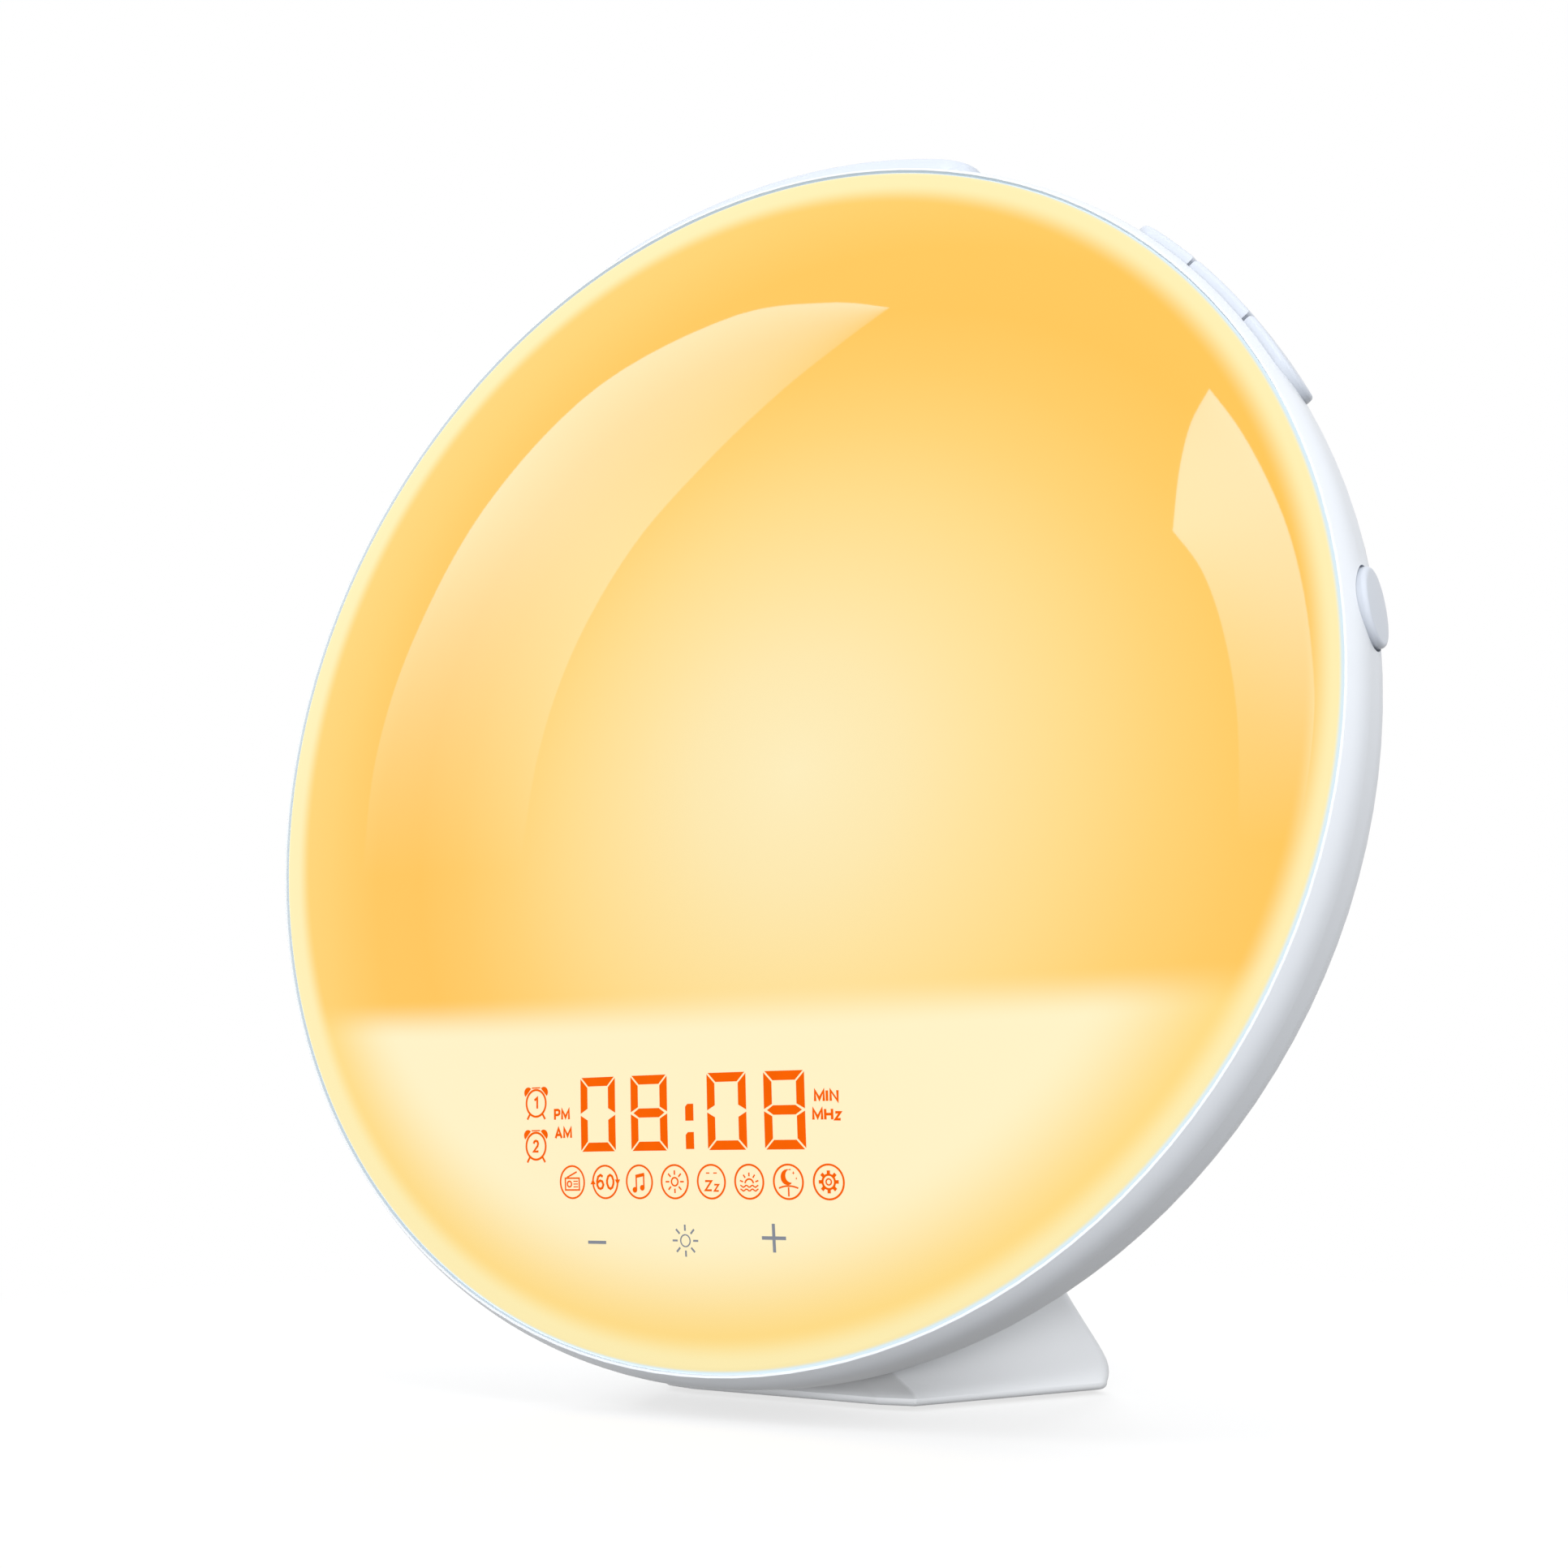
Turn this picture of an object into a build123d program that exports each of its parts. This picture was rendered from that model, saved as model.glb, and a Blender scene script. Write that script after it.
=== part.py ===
from build123d import *
import os
from math import atan2, cos, degrees, radians, sin, sqrt

# Sunrise alarm clock: a round, slightly domed light in a thin white housing that leans back on a
# small flared foot. Millimetres. +Z is up, the light faces -Y, and the origin is under the middle
# of the clock on the surface that it stands on.
#
# Everything in the housing is drawn in the frame of the leaning disc: X to the right, Y up the
# face, Z forward out of the face, with Z = 0 at the rim of the dome. seat() then leans it back.

# ---- whole clock
housing_radius = 86.0
overall_depth = 91.0
lean = 6.0
table_gap = 3.2
fit_gap = 0.1
run_gap = 0.3
skin = 2.4
join = 0.4

# ---- dome
rim_step = 1.8
dome_rise = 9.5
dome_wall = 2.0
dome_edge_round = 1.2
dome_seat = 0.9
skirt_depth = 3.0
skirt_inset = 3.2

# ---- ring (side wall)
lip_width = 0.3
ring_rise = 4.6
ring_barrel = 8.3
shoulder_radius = 10.0
shoulder_angle = 40.0
parting = 13.2
ring_wall = 2.6
shelf_thickness = 1.0
shelf_width = 2.0

# ---- bowl-shaped back
back_bulge_radius = 140.0
pod_radius = 37.0
pod_root_round = 4.0
pod_edge_round = 3.0

# ---- case screws, shared by cover, tray and ring
case_screw_angles = (57.0, 123.0, 197.0, 235.0, 305.0, 343.0)
case_screw_inset = 5.0
case_boss_radius = 3.2
case_tube_radius = 3.6
case_boss_front = 5.4
case_pilot_radius = 1.2
case_shank_radius = 1.4
case_head_radius = 2.4
case_head_height = 1.6
case_head_depth = 15.4
case_slot_width = 0.8
case_slot_length = 3.2
case_screw_tip = 8.0

# ---- keys
key_middle = 6.9
key_half_width = 4.6
key_proud = 0.8
key_crown = 0.3
key_edge_round = 0.6
key_depth = 5.1
key_gap = 0.5
key_travel = 0.5
flange_thickness = 1.3
flange_overlap = 1.1
strip_angle = 36.8
strip_half_span = 11.9
oval_angle = 5.0
oval_half_length = 5.0
snooze_half_span = 21.8
snooze_proud = 1.0
snooze_crown = 1.2
stem_radius = 1.6
stem_root = 0.8

# ---- switches and their boards
plunger_radius = 1.5
plunger_gap = 0.15
plunger_length = 1.8
switch_side = 6.0
switch_height = 2.5
over_travel = 0.4
pocket_depth = 1.6
key_board_thickness = 1.2
key_board_half_width = 4.2
strip_board_half_length = 15.5
single_board_half_length = 8.5
key_screw_offset = 5.9

# ---- small screws
small_head_radius = 1.8
small_head_height = 1.2
small_shank_radius = 0.9
small_shank_length = 4.0
small_clear_radius = 1.15

# ---- tray, light partition and lamp board
tray_inset = 11.5
tray_wall = 1.6
tray_front = 1.5
tray_rim_thickness = 1.0
tray_depth = 22.0
tray_edge_round = 6.0
tray_boss_radius = 2.6
tray_boss_depth = 3.2
ear_half_width = 4.2
ear_thickness = 1.6
partition_rise = 47.0
partition_wall = 1.6
partition_dome_gap = 0.5
lamp_board_inset = 8.5
lamp_board_thickness = 1.2
lamp_board_rise = 50.0
lamp_screw_inset = 5.0
lamp_screw_rise = 8.0
warm_ring_insets = (52.0, 32.0, 12.0)
warm_ring_counts = (6, 14, 20)
colour_ring_inset = 22.0
colour_count = 12
lamp_side = 2.8
lamp_height = 0.8
colour_lamp_side = 5.0
colour_lamp_height = 1.4

# ---- display: the rises are heights up the face from the lowest point of the housing
display_board_front = 4.4
display_board_thickness = 1.6
display_board_rise = 44.5
display_board_gap = 0.5
display_x = 1.4
digit_rise = 33.7
digit_offsets = (-14.4, -6.0, 6.0, 14.4)
digit_half_width = 2.55
digit_half_height = 4.4
segment_width = 1.0
segment_gap = 0.25
colon_offset = 1.6
icon_rise = 25.0
icon_pitch = 5.6
icon_count = 8
icon_well_radius = 2.1
alarm_x = -23.4
alarm_rises = (35.6, 29.8)
caption_xs = (-18.7, 20.8)
caption_rises = (34.7, 32.1)
caption_width = 3.2
caption_height = 1.4
block_left = -27.5
block_right = 26.5
block_top_rise = 40.8
block_low_rise = 21.6
block_dome_gap = 0.8
film_thickness = 0.3
film_dome_gap = 0.4
digit_lamp = 0.6
digit_lamp_height = 0.6
touch_rise = 18.0
touch_xs = (-13.6, 0.4, 13.6)
touch_spring_radius = 2.0
touch_wire_radius = 0.25
touch_turns = 4
touch_dome_gap = 0.3
display_post_xs = (-44.0, 44.0, -30.0, 31.0)
display_post_rises = (40.0, 40.0, 26.0, 26.0)
display_post_radius = 2.6

# ---- main board
main_board_face = 26.0
main_board_thickness = 1.6
main_board_half_width = 42.0
main_board_half_height = 30.0
main_board_y = 6.0
main_board_corner = 3.0
main_post_radius = 2.8
main_post_inset = 4.0
cell_radius = 10.0
cell_height = 3.2
cell_x = 24.0
cell_y = -10.0
holder_wall = 1.4
holder_floor = 1.0
holder_slot = 8.0
chip_places = ((-18.0, 12.0), (4.0, 18.0), (-20.0, -10.0), (4.0, -12.0), (24.0, 20.0))
chip_sizes = ((10.0, 10.0, 1.6), (5.0, 4.0, 1.2), (8.0, 5.0, 1.6), (5.0, 4.0, 1.2), (3.0, 3.0, 1.0))
can_places = ((-32.0, 4.0), (-32.0, 12.5), (14.0, 2.0), (32.0, 10.0))
can_sizes = ((3.2, 7.0), (3.2, 7.0), (2.5, 5.5), (4.0, 8.0))

# ---- loudspeaker
grille_radius = 25.6
grille_thickness = 1.2
grille_ledge = 1.8
grille_hole_radius = 0.95
grille_hole_rings = 6
grille_ring_pitch = 3.6
speaker_radius = 29.0
speaker_flange = 1.0
speaker_opening_radius = 24.5
gasket_thickness = 0.8
basket_depth = 13.0
basket_rear_radius = 16.5
basket_wall = 1.0
magnet_radius = 20.0
magnet_height = 8.0
magnet_bore_radius = 9.0
plate_height = 2.5
pole_radius = 6.4
coil_radius = 7.2
coil_wall = 0.35
coil_height = 9.0
basket_straight = 4.0
cone_wall = 0.5
cone_depth = 7.0
cone_radius = 20.6
surround_middle = 22.5
surround_width = 3.6
surround_wall = 0.5
surround_rim = 1.0
spider_radius = 15.8
spider_wall = 0.4
spider_rise = 2.0
dust_cap_rise = 2.6
speaker_screw_radius = 27.4
speaker_boss_radius = 1.9

# ---- sockets
pocket_half_width = 15.5
pocket_pod_gap = 2.5
pocket_height = 12.5
pocket_floor = 37.5
pocket_wall = 2.0
socket_board_thickness = 1.6
socket_board_length = 12.0
socket_board_half_width = 14.5
socket_shelf_thickness = 2.4
jack_x = -8.8
jack_width = 9.0
jack_height = 10.5
jack_length = 12.0
jack_bore_radius = 3.1
jack_bore_depth = 9.5
jack_pin_radius = 1.0
usb_x = 7.0
usb_width = 13.2
usb_height = 5.8
usb_length = 12.0
usb_shell = 0.4
usb_tongue_thickness = 1.8
socket_clear = 0.5

# ---- foot
foot_lift = 0.6
foot_front_y = 13.0
foot_front_half = 14.8
foot_shoulder_y = 14.4
foot_shoulder_half = 20.0
foot_heel_y = 44.0
foot_heel_half = 34.6
foot_rear_y = 61.0
foot_corner_round = 3.0
foot_front_round = 0.6
foot_lip_height = 1.6
foot_bevel = 0.9
foot_skin = 2.4
foot_flare = ((5.0, 0.3, 0.0, 0.0, -5.0), (8.0, 0.9, 2.4, 4.0, -7.6), (13.0, 2.2, 6.2, 10.0, -6.9),
              (22.0, 4.7, 10.8, 20.5, -4.5), (31.0, 7.2, 14.0, 27.5, -3.5),
              (50.0, 10.0, 17.5, 31.0, -1.5))
base_thickness = 2.2
base_recess = 0.2
base_inset = 1.3
pad_radius = 4.6
pad_height = 1.6
pad_places = ((-13.0, 27.0), (13.0, 27.0), (-22.5, 42.5), (22.5, 42.5))
base_screw_places = ((-9.0, 42.0), (9.0, 42.0), (0.0, 22.0))
base_boss_radius = 3.0
base_screw_recess = 1.2
base_pilot_depth = 5.0
foot_screw_x = 13.0
foot_screw_z = 33.0
foot_boss_radius = 4.0
foot_boss_depth = 9.0
foot_pad_height = 7.0

# ---- worked out from the sizes above
dome_radius = housing_radius - rim_step
dome_ball = (dome_radius ** 2 + dome_rise ** 2) / (2 * dome_rise)
dome_ball_z = dome_rise - dome_ball
lean_cos = cos(radians(lean))
lean_sin = sin(radians(lean))
face_overhang = dome_ball + dome_ball_z * lean_cos
disc_y = face_overhang - overall_depth / 2
disc_z = table_gap + housing_radius * lean_cos + ring_barrel * lean_sin
pod_flat_radius = pod_radius - pod_edge_round
pod_depth = (overall_depth - face_overhang - pod_flat_radius * lean_sin) / lean_cos
ring_inside = housing_radius - ring_wall
case_screw_radius = ring_inside - case_screw_inset
key_inside = housing_radius + key_proud - key_depth
stem_tip = key_inside - stem_radius
board_face = stem_tip - key_travel - over_travel - switch_height
tray_radius = housing_radius - tray_inset
tray_rim_radius = dome_radius - skirt_inset - dome_wall - run_gap
lamp_board_radius = tray_radius - lamp_board_inset
warm_ring_radii = [lamp_board_radius - inset for inset in warm_ring_insets]
colour_ring_radius = lamp_board_radius - colour_ring_inset
display_board_radius = tray_radius - tray_wall - display_board_gap
partition_height = partition_rise - housing_radius
lamp_board_low = lamp_board_rise - housing_radius
display_board_top = display_board_rise - housing_radius
digit_row = digit_rise - housing_radius
icon_row = icon_rise - housing_radius
touch_row = touch_rise - housing_radius
alarm_rows = [rise - housing_radius for rise in alarm_rises]
caption_rows = [rise - housing_radius for rise in caption_rises]
block_top = block_top_rise - housing_radius
block_bottom = block_low_rise - housing_radius
display_posts = [(x, rise - housing_radius) for x, rise in zip(display_post_xs, display_post_rises)]
pocket_top = -pod_radius - pocket_pod_gap
pocket_bottom = pocket_top - pocket_height
disc_frame = Plane(origin=(0, disc_y, disc_z), x_dir=(1, 0, 0), z_dir=(0, -lean_cos, lean_sin))


# ---- drawing helpers
def seat(shape):
    """Lean a piece of the disc back into its place on the clock."""
    return disc_frame.location * shape


def polygon(*points):
    """Closed flat outline with straight sides."""
    return make_face(Polyline(*points, close=True))


def turned(outline):
    """Turn an outline, drawn as radius and height, about the disc's axis."""
    return revolve(Plane.XZ * outline, Axis.Z)


def washer(outer, inner, low, high):
    """Flat ring between two heights on the disc's axis."""
    height = high - low
    ring = Cylinder(outer, height) - Cylinder(inner, height + 1)
    return Pos(0, 0, (low + high) / 2) * ring


def rod(radius, low, high):
    """Round bar between two heights on the disc's axis."""
    return Pos(0, 0, (low + high) / 2) * Cylinder(radius, high - low)


def block(x, y, z):
    """Box given by its lowest and highest x, y and z."""
    middle = ((x[0] + x[1]) / 2, (y[0] + y[1]) / 2, (z[0] + z[1]) / 2)
    return Pos(*middle) * Box(x[1] - x[0], y[1] - y[0], z[1] - z[0])


def spoke(angle):
    """Frame of a key: X along the wall, Y forward, Z outwards from the disc's axis."""
    a = radians(angle)
    return Plane(origin=(0, 0, 0), x_dir=(-sin(a), cos(a), 0), z_dir=(cos(a), sin(a), 0)).location


def ball_cap(radius, reach, low):
    """Everything behind a ball about the dome's centre, down to a height, within a radius."""
    edge = sqrt(radius ** 2 - reach ** 2) + dome_ball_z
    side = Line((0, low), (reach, low)) + Line((reach, low), (reach, edge))
    top_middle = (reach / 2, sqrt(radius ** 2 - (reach / 2) ** 2) + dome_ball_z)
    crown = ThreePointArc((reach, edge), top_middle, (0, radius + dome_ball_z))
    axis = Line((0, radius + dome_ball_z), (0, low))
    return turned(make_face(side + crown + axis))


def dome_inside(radius_from_axis, gap=0.0):
    """Height of the dome's inner face at a distance from the axis, less a gap."""
    return sqrt((dome_ball - dome_wall - gap) ** 2 - radius_from_axis ** 2) + dome_ball_z


def round_edges(shape, radius, height):
    """Circular edges of a turned piece that have a radius and lie at a height."""
    edges = shape.edges().filter_by(GeomType.CIRCLE)
    return [e for e in edges if abs(e.radius - radius) < 0.01 and abs(e.center().Z - height) < 0.01]


def bowl(inset):
    """Solid of the bowl-shaped back behind the parting line, with its skin moved in by inset."""
    a = radians(shoulder_angle)
    shoulder = (housing_radius - shoulder_radius, -ring_barrel)
    swing = back_bulge_radius - shoulder_radius
    centre = (shoulder[0] - swing * cos(a), shoulder[1] + swing * sin(a))
    small = shoulder_radius - inset
    large = back_bulge_radius - inset
    pod = pod_radius - inset
    back = -pod_depth + inset
    start_drop = parting - ring_barrel
    start = (shoulder[0] + sqrt(small ** 2 - start_drop ** 2), -parting)
    start_angle = atan2(start_drop, start[0] - shoulder[0])
    middle_angle = (start_angle + a) / 2
    bend = (shoulder[0] + small * cos(a), shoulder[1] - small * sin(a))
    bend_middle = (shoulder[0] + small * cos(middle_angle), shoulder[1] - small * sin(middle_angle))
    root = (pod, centre[1] - sqrt(large ** 2 - (pod - centre[0]) ** 2))
    root_angle = atan2(centre[1] - root[1], root[0] - centre[0])
    sweep_angle = (root_angle + a) / 2
    sweep_middle = (centre[0] + large * cos(sweep_angle), centre[1] - large * sin(sweep_angle))
    edges = Line((0, -parting), start) + ThreePointArc(start, bend_middle, bend)
    edges += ThreePointArc(bend, sweep_middle, root)
    edges += Polyline(root, (pod, back), (0, back), (0, -parting))
    return turned(make_face(edges))


def small_screw(head_at, direction=1):
    """Screw along Z: its head stands on head_at and its shank runs the other way."""
    head = head_at + direction * small_head_height
    tip = head_at - direction * small_shank_length
    top = rod(small_head_radius, min(head_at, head), max(head_at, head))
    return top + rod(small_shank_radius, min(head_at, tip), max(head_at, tip))


# ---- diffuser dome
def diffuser_dome():
    """Opal dome: a shallow cap with a rounded edge and a skirt that drops behind the ring's shelf."""
    cap = ball_cap(dome_ball, dome_radius, -skirt_depth)
    cap = fillet(round_edges(cap, dome_radius, 0.0), dome_edge_round)
    cap &= rod(housing_radius, -dome_seat, 2 * dome_rise)
    skirt_outer = dome_radius - skirt_inset
    skirt_inner = skirt_outer - dome_wall
    skirt = rod(skirt_outer, -skirt_depth, -dome_seat / 2)
    hollow = ball_cap(dome_ball - dome_wall, skirt_inner, -skirt_depth - 1)
    return cap + skirt - hollow


# ---- front ring
def ring_body():
    """Turned side wall: a thin lip round the dome, a barrel, and a shelf that carries the dome."""
    lip_inner = dome_radius + fit_gap
    lip_outer = lip_inner + lip_width
    rise = housing_radius - lip_outer
    arc = (ring_rise ** 2 + rise ** 2) / (2 * rise)
    half = ring_rise / 2
    bulge_middle = (housing_radius - arc + sqrt(arc ** 2 - half ** 2), -half)
    drop = parting - ring_barrel
    shoulder_x = housing_radius - shoulder_radius
    shoulder_end = (shoulder_x + sqrt(shoulder_radius ** 2 - drop ** 2), -parting)
    turn = atan2(drop, shoulder_end[0] - shoulder_x) / 2
    shoulder_middle = (shoulder_x + shoulder_radius * cos(turn),
                       -ring_barrel - shoulder_radius * sin(turn))
    shelf_inner = dome_radius - shelf_width
    outside = Line((lip_inner, 0), (lip_outer, 0))
    outside += ThreePointArc((lip_outer, 0), bulge_middle, (housing_radius, -ring_rise))
    outside += Line((housing_radius, -ring_rise), (housing_radius, -ring_barrel))
    outside += ThreePointArc((housing_radius, -ring_barrel), shoulder_middle, shoulder_end)
    shelf_back = -dome_seat - shelf_thickness
    inside = Polyline(shoulder_end, (ring_inside, -parting), (ring_inside, shelf_back),
                      (shelf_inner, shelf_back), (shelf_inner, -dome_seat),
                      (lip_inner, -dome_seat), (lip_inner, 0))
    return turned(make_face(outside + inside))


def front_ring():
    """Side wall with its screw bosses and key openings."""
    ring = ring_body()
    for angle in case_screw_angles:
        boss = Pos(case_screw_radius, 0, 0) * rod(case_boss_radius, -parting + ear_thickness,
                                                  -case_boss_front)
        rib = block((case_screw_radius, ring_inside + join), (-1.0, 1.0),
                    (-parting + ear_thickness, -case_boss_front))
        ring += Rot(0, 0, angle) * (boss + rib)
        ring -= Rot(0, 0, angle) * (Pos(case_screw_radius, 0, 0)
                                    * rod(case_pilot_radius, -parting, -case_boss_front - 1.5))
    for plane, outline in key_openings():
        cutter = extrude(outline, amount=housing_radius)
        keep = rod(housing_radius + 5, -parting, 0) - rod(key_inside - 1, -parting, 0)
        ring -= (plane * cutter) & keep
    return ring


# ---- keys
def strip_outline(grow=0.0):
    """Outline of the three-key strip: long, with fully rounded ends."""
    reach = (housing_radius + key_proud) * sin(radians(strip_half_span))
    width = 2 * (key_half_width + grow)
    return Pos(0, -key_middle) * SlotOverall(2 * (reach + grow), width)


def oval_outline(grow=0.0):
    """Outline of a single oval key."""
    return Pos(0, -key_middle) * Ellipse(oval_half_length + grow, key_half_width + grow)


def snooze_outline(grow=0.0):
    """Outline of the long snooze key."""
    reach = (housing_radius + snooze_proud) * sin(radians(snooze_half_span))
    width = 2 * (key_half_width + grow)
    return Pos(0, -key_middle) * SlotOverall(2 * (reach + grow), width)


def key_openings():
    """Frame and outline of each opening that the keys come out of."""
    return [(spoke(strip_angle), strip_outline(run_gap)),
            (spoke(180 - strip_angle), strip_outline(run_gap)),
            (spoke(oval_angle), oval_outline(run_gap)),
            (spoke(180 - oval_angle), oval_outline(run_gap)),
            (spoke(90), snooze_outline(run_gap))]


def crowned_band(proud, crown):
    """Turned band with a crowned outside that the keys are cut from."""
    edge = housing_radius + proud
    front = -key_middle + key_half_width + 1
    back = -key_middle - key_half_width - 1
    sides = Polyline((edge, front), (key_inside, front), (key_inside, back), (edge, back))
    top = ThreePointArc((edge, back), (edge + crown, -key_middle), (edge, front))
    return turned(make_face(sides + top))


def key_flange(low, high):
    """Thin wings behind the wall that stop a key from coming out, between two places along it."""
    front = -key_middle + key_half_width - join
    back = -key_middle - key_half_width - flange_overlap
    slab = block((low, high), (back, front), (0, housing_radius))
    return slab, turned(polygon((key_inside, back), (key_inside, front),
                                (key_inside + flange_thickness, front),
                                (key_inside + flange_thickness, back)))


def key_cap(plane, outline, proud, crown, low, high, flange_low, flange_high, stem_at):
    """One key: a crowned cap, its retaining wings and the stem that presses its switch."""
    column = extrude(outline, amount=housing_radius + 10)
    column &= block((low, high), (-parting, 0), (housing_radius / 2, housing_radius + 10))
    cap = (plane * column) & crowned_band(proud, crown)
    top = [e for e in cap.edges() if min_reach(e) > housing_radius + proud / 2]
    cap = fillet(top, key_edge_round)
    slab, wing_band = key_flange(flange_low, flange_high)
    cap += (plane * slab) & wing_band
    stem = Pos(stem_at, -key_middle, 0) * rod(stem_radius, stem_tip, key_inside + stem_root)
    return cap + plane * stem


def min_reach(edge):
    """Smallest distance of an edge from the disc's axis."""
    spots = [edge @ t for t in (0.0, 0.25, 0.5, 0.75, 1.0)]
    return min(sqrt(p.X ** 2 + p.Y ** 2) for p in spots)


def plunger(plane, at):
    """Switch plunger under a stem; it moves with the key."""
    pin = rod(plunger_radius, stem_tip - plunger_length, stem_tip)
    return plane * (Pos(at, -key_middle, 0) * pin)


def tact_switch(plane, at):
    """Switch body with the pocket that its plunger slides in."""
    top = board_face + switch_height
    half = switch_side / 2
    body = block((at - half, at + half), (-key_middle - half, -key_middle + half),
                 (board_face, top))
    pocket = Pos(at, -key_middle, 0) * rod(plunger_radius + plunger_gap, top - pocket_depth, top + 1)
    return plane * (body - pocket)


def key_layout():
    """Every key: name, frame, outline, proudness, crown, ends, wing ends and place of its stem."""
    reach = (housing_radius + key_proud) * sin(radians(strip_half_span))
    cut = reach / 3
    pitch = 2 * cut
    half_gap = key_gap / 2
    keys = []
    names = ("low", "middle", "top")
    for side, angle in (("right", strip_angle), ("left", 180 - strip_angle)):
        order = names if side == "right" else names[::-1]
        for index, name in enumerate(order):
            place = (index - 1) * pitch
            low = place - cut + half_gap if index else -reach - 1
            high = place + cut - half_gap if index < 2 else reach + 1
            wing_low = low if index else -reach - flange_overlap
            wing_high = high if index < 2 else reach + flange_overlap
            keys.append((f"{side}_key_{name}", spoke(angle), strip_outline(), key_proud, key_crown,
                         low, high, wing_low, wing_high, place))
    oval_wing = oval_half_length + flange_overlap
    for side, angle in (("right", oval_angle), ("left", 180 - oval_angle)):
        keys.append((f"{side}_oval_key", spoke(angle), oval_outline(), key_proud - 0.2, key_crown,
                     -oval_wing, oval_wing, -oval_wing, oval_wing, 0.0))
    snooze_reach = (housing_radius + snooze_proud) * sin(radians(snooze_half_span))
    snooze_wing = snooze_reach + flange_overlap
    keys.append(("snooze_key", spoke(90), snooze_outline(), snooze_proud, snooze_crown,
                 -snooze_reach - 1, snooze_reach + 1, -snooze_wing, snooze_wing, 0.0))
    return keys


def key_board_places():
    """Frame and half length of the board behind each group of keys."""
    return [(spoke(strip_angle), strip_board_half_length),
            (spoke(180 - strip_angle), strip_board_half_length),
            (spoke(oval_angle), single_board_half_length),
            (spoke(180 - oval_angle), single_board_half_length),
            (spoke(90), single_board_half_length)]


def key_boards():
    """Small boards that carry the switches, each screwed to two bosses of the tray."""
    boards = []
    for plane, half in key_board_places():
        board = block((-half, half), (-key_middle - key_board_half_width,
                                      -key_middle + key_board_half_width),
                      (board_face - key_board_thickness, board_face))
        for side in (-1, 1):
            hole = Pos(side * key_screw_offset, -key_middle, 0)
            board -= hole * rod(small_clear_radius, board_face - 3, board_face + 1)
        boards.append(plane * board)
    return boards


def key_board_screws():
    """Screws through the key boards into the tray."""
    screws = []
    for plane, _ in key_board_places():
        for side in (-1, 1):
            place = Pos(side * key_screw_offset, -key_middle, 0)
            screws.append(plane * (place * small_screw(board_face)))
    return screws


# ---- reflector tray
def reflector_tray():
    """White tray behind the dome, with ears, key board bosses and display and board posts."""
    floor = -tray_depth
    shell = rod(tray_radius, floor, -tray_front)
    shell = fillet(round_edges(shell, tray_radius, floor), tray_edge_round)
    inner = rod(tray_radius - tray_wall, floor + tray_wall, 1)
    inner = fillet(round_edges(inner, tray_radius - tray_wall, floor + tray_wall),
                   tray_edge_round - tray_wall)
    tray = shell - inner
    tray += washer(tray_rim_radius, tray_radius - tray_wall, -tray_front - tray_rim_thickness,
                   -tray_front)
    ear_front = -parting + ear_thickness
    for angle in case_screw_angles:
        ear = block((tray_radius - 0.5, case_screw_radius), (-ear_half_width, ear_half_width),
                    (-parting, ear_front))
        ear += Pos(case_screw_radius, 0, 0) * rod(ear_half_width, -parting, ear_front)
        ear -= Pos(case_screw_radius, 0, 0) * rod(case_shank_radius + 0.3, -parting - 1, 0)
        tray += Rot(0, 0, angle) * (ear & rod(ring_inside - run_gap, -parting, ear_front))
    for plane, _ in key_board_places():
        for side in (-1, 1):
            place = Pos(side * key_screw_offset, -key_middle, 0)
            top = board_face - key_board_thickness
            tray += plane * (place * rod(tray_boss_radius, tray_radius - tray_wall / 2 - 0.6, top))
            tray -= plane * (place * rod(small_shank_radius, top - tray_boss_depth, top + 1))
    for x, y in display_posts:
        top = -display_board_front - display_board_thickness
        tray += Pos(x, y, 0) * rod(display_post_radius, floor + tray_wall / 2, top)
        tray -= Pos(x, y, 0) * rod(small_shank_radius, top - 4.5, top + 1)
    for x, y in main_post_places():
        tray += Pos(x, y, 0) * rod(main_post_radius, -main_board_face, floor + tray_wall / 2)
        tray -= Pos(x, y, 0) * rod(small_shank_radius, -main_board_face - 1, -main_board_face + 4.2)
    return tray


def light_partition():
    """Wall across the tray between the glowing part of the dome and the display field."""
    reach = tray_radius - tray_wall - fit_gap
    wall = block((-reach, reach), (partition_height - partition_wall / 2,
                                   partition_height + partition_wall / 2),
                 (-tray_depth + tray_wall, dome_rise))
    keep = ball_cap(dome_ball - dome_wall - partition_dome_gap, reach, -tray_depth + tray_wall)
    round_floor = fillet(round_edges(keep, reach, -tray_depth + tray_wall),
                         tray_edge_round - tray_wall)
    return wall & round_floor


def lamp_board():
    """Aluminium lamp board on the tray's floor, cut off straight above the partition."""
    low = -tray_depth + tray_wall
    board = rod(lamp_board_radius, low, low + lamp_board_thickness)
    keep = block((-lamp_board_radius, lamp_board_radius), (lamp_board_low, lamp_board_radius),
                 (low - 1, low + 5))
    board &= keep
    for x, y in lamp_screw_places():
        board -= Pos(x, y, 0) * rod(small_clear_radius, low - 1, low + 5)
    return board


def lamp_screw_places():
    """Places of the screws that hold the lamp board down."""
    far = lamp_board_radius - lamp_screw_inset
    rim = [(far * cos(radians(a)), far * sin(radians(a))) for a in (25, 90, 155)]
    return rim + [(0.0, lamp_board_low + lamp_screw_rise)]


def on_board(x, y):
    """True where a lamp has its whole place on the lamp board."""
    return y - colour_lamp_side > lamp_board_low


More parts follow.
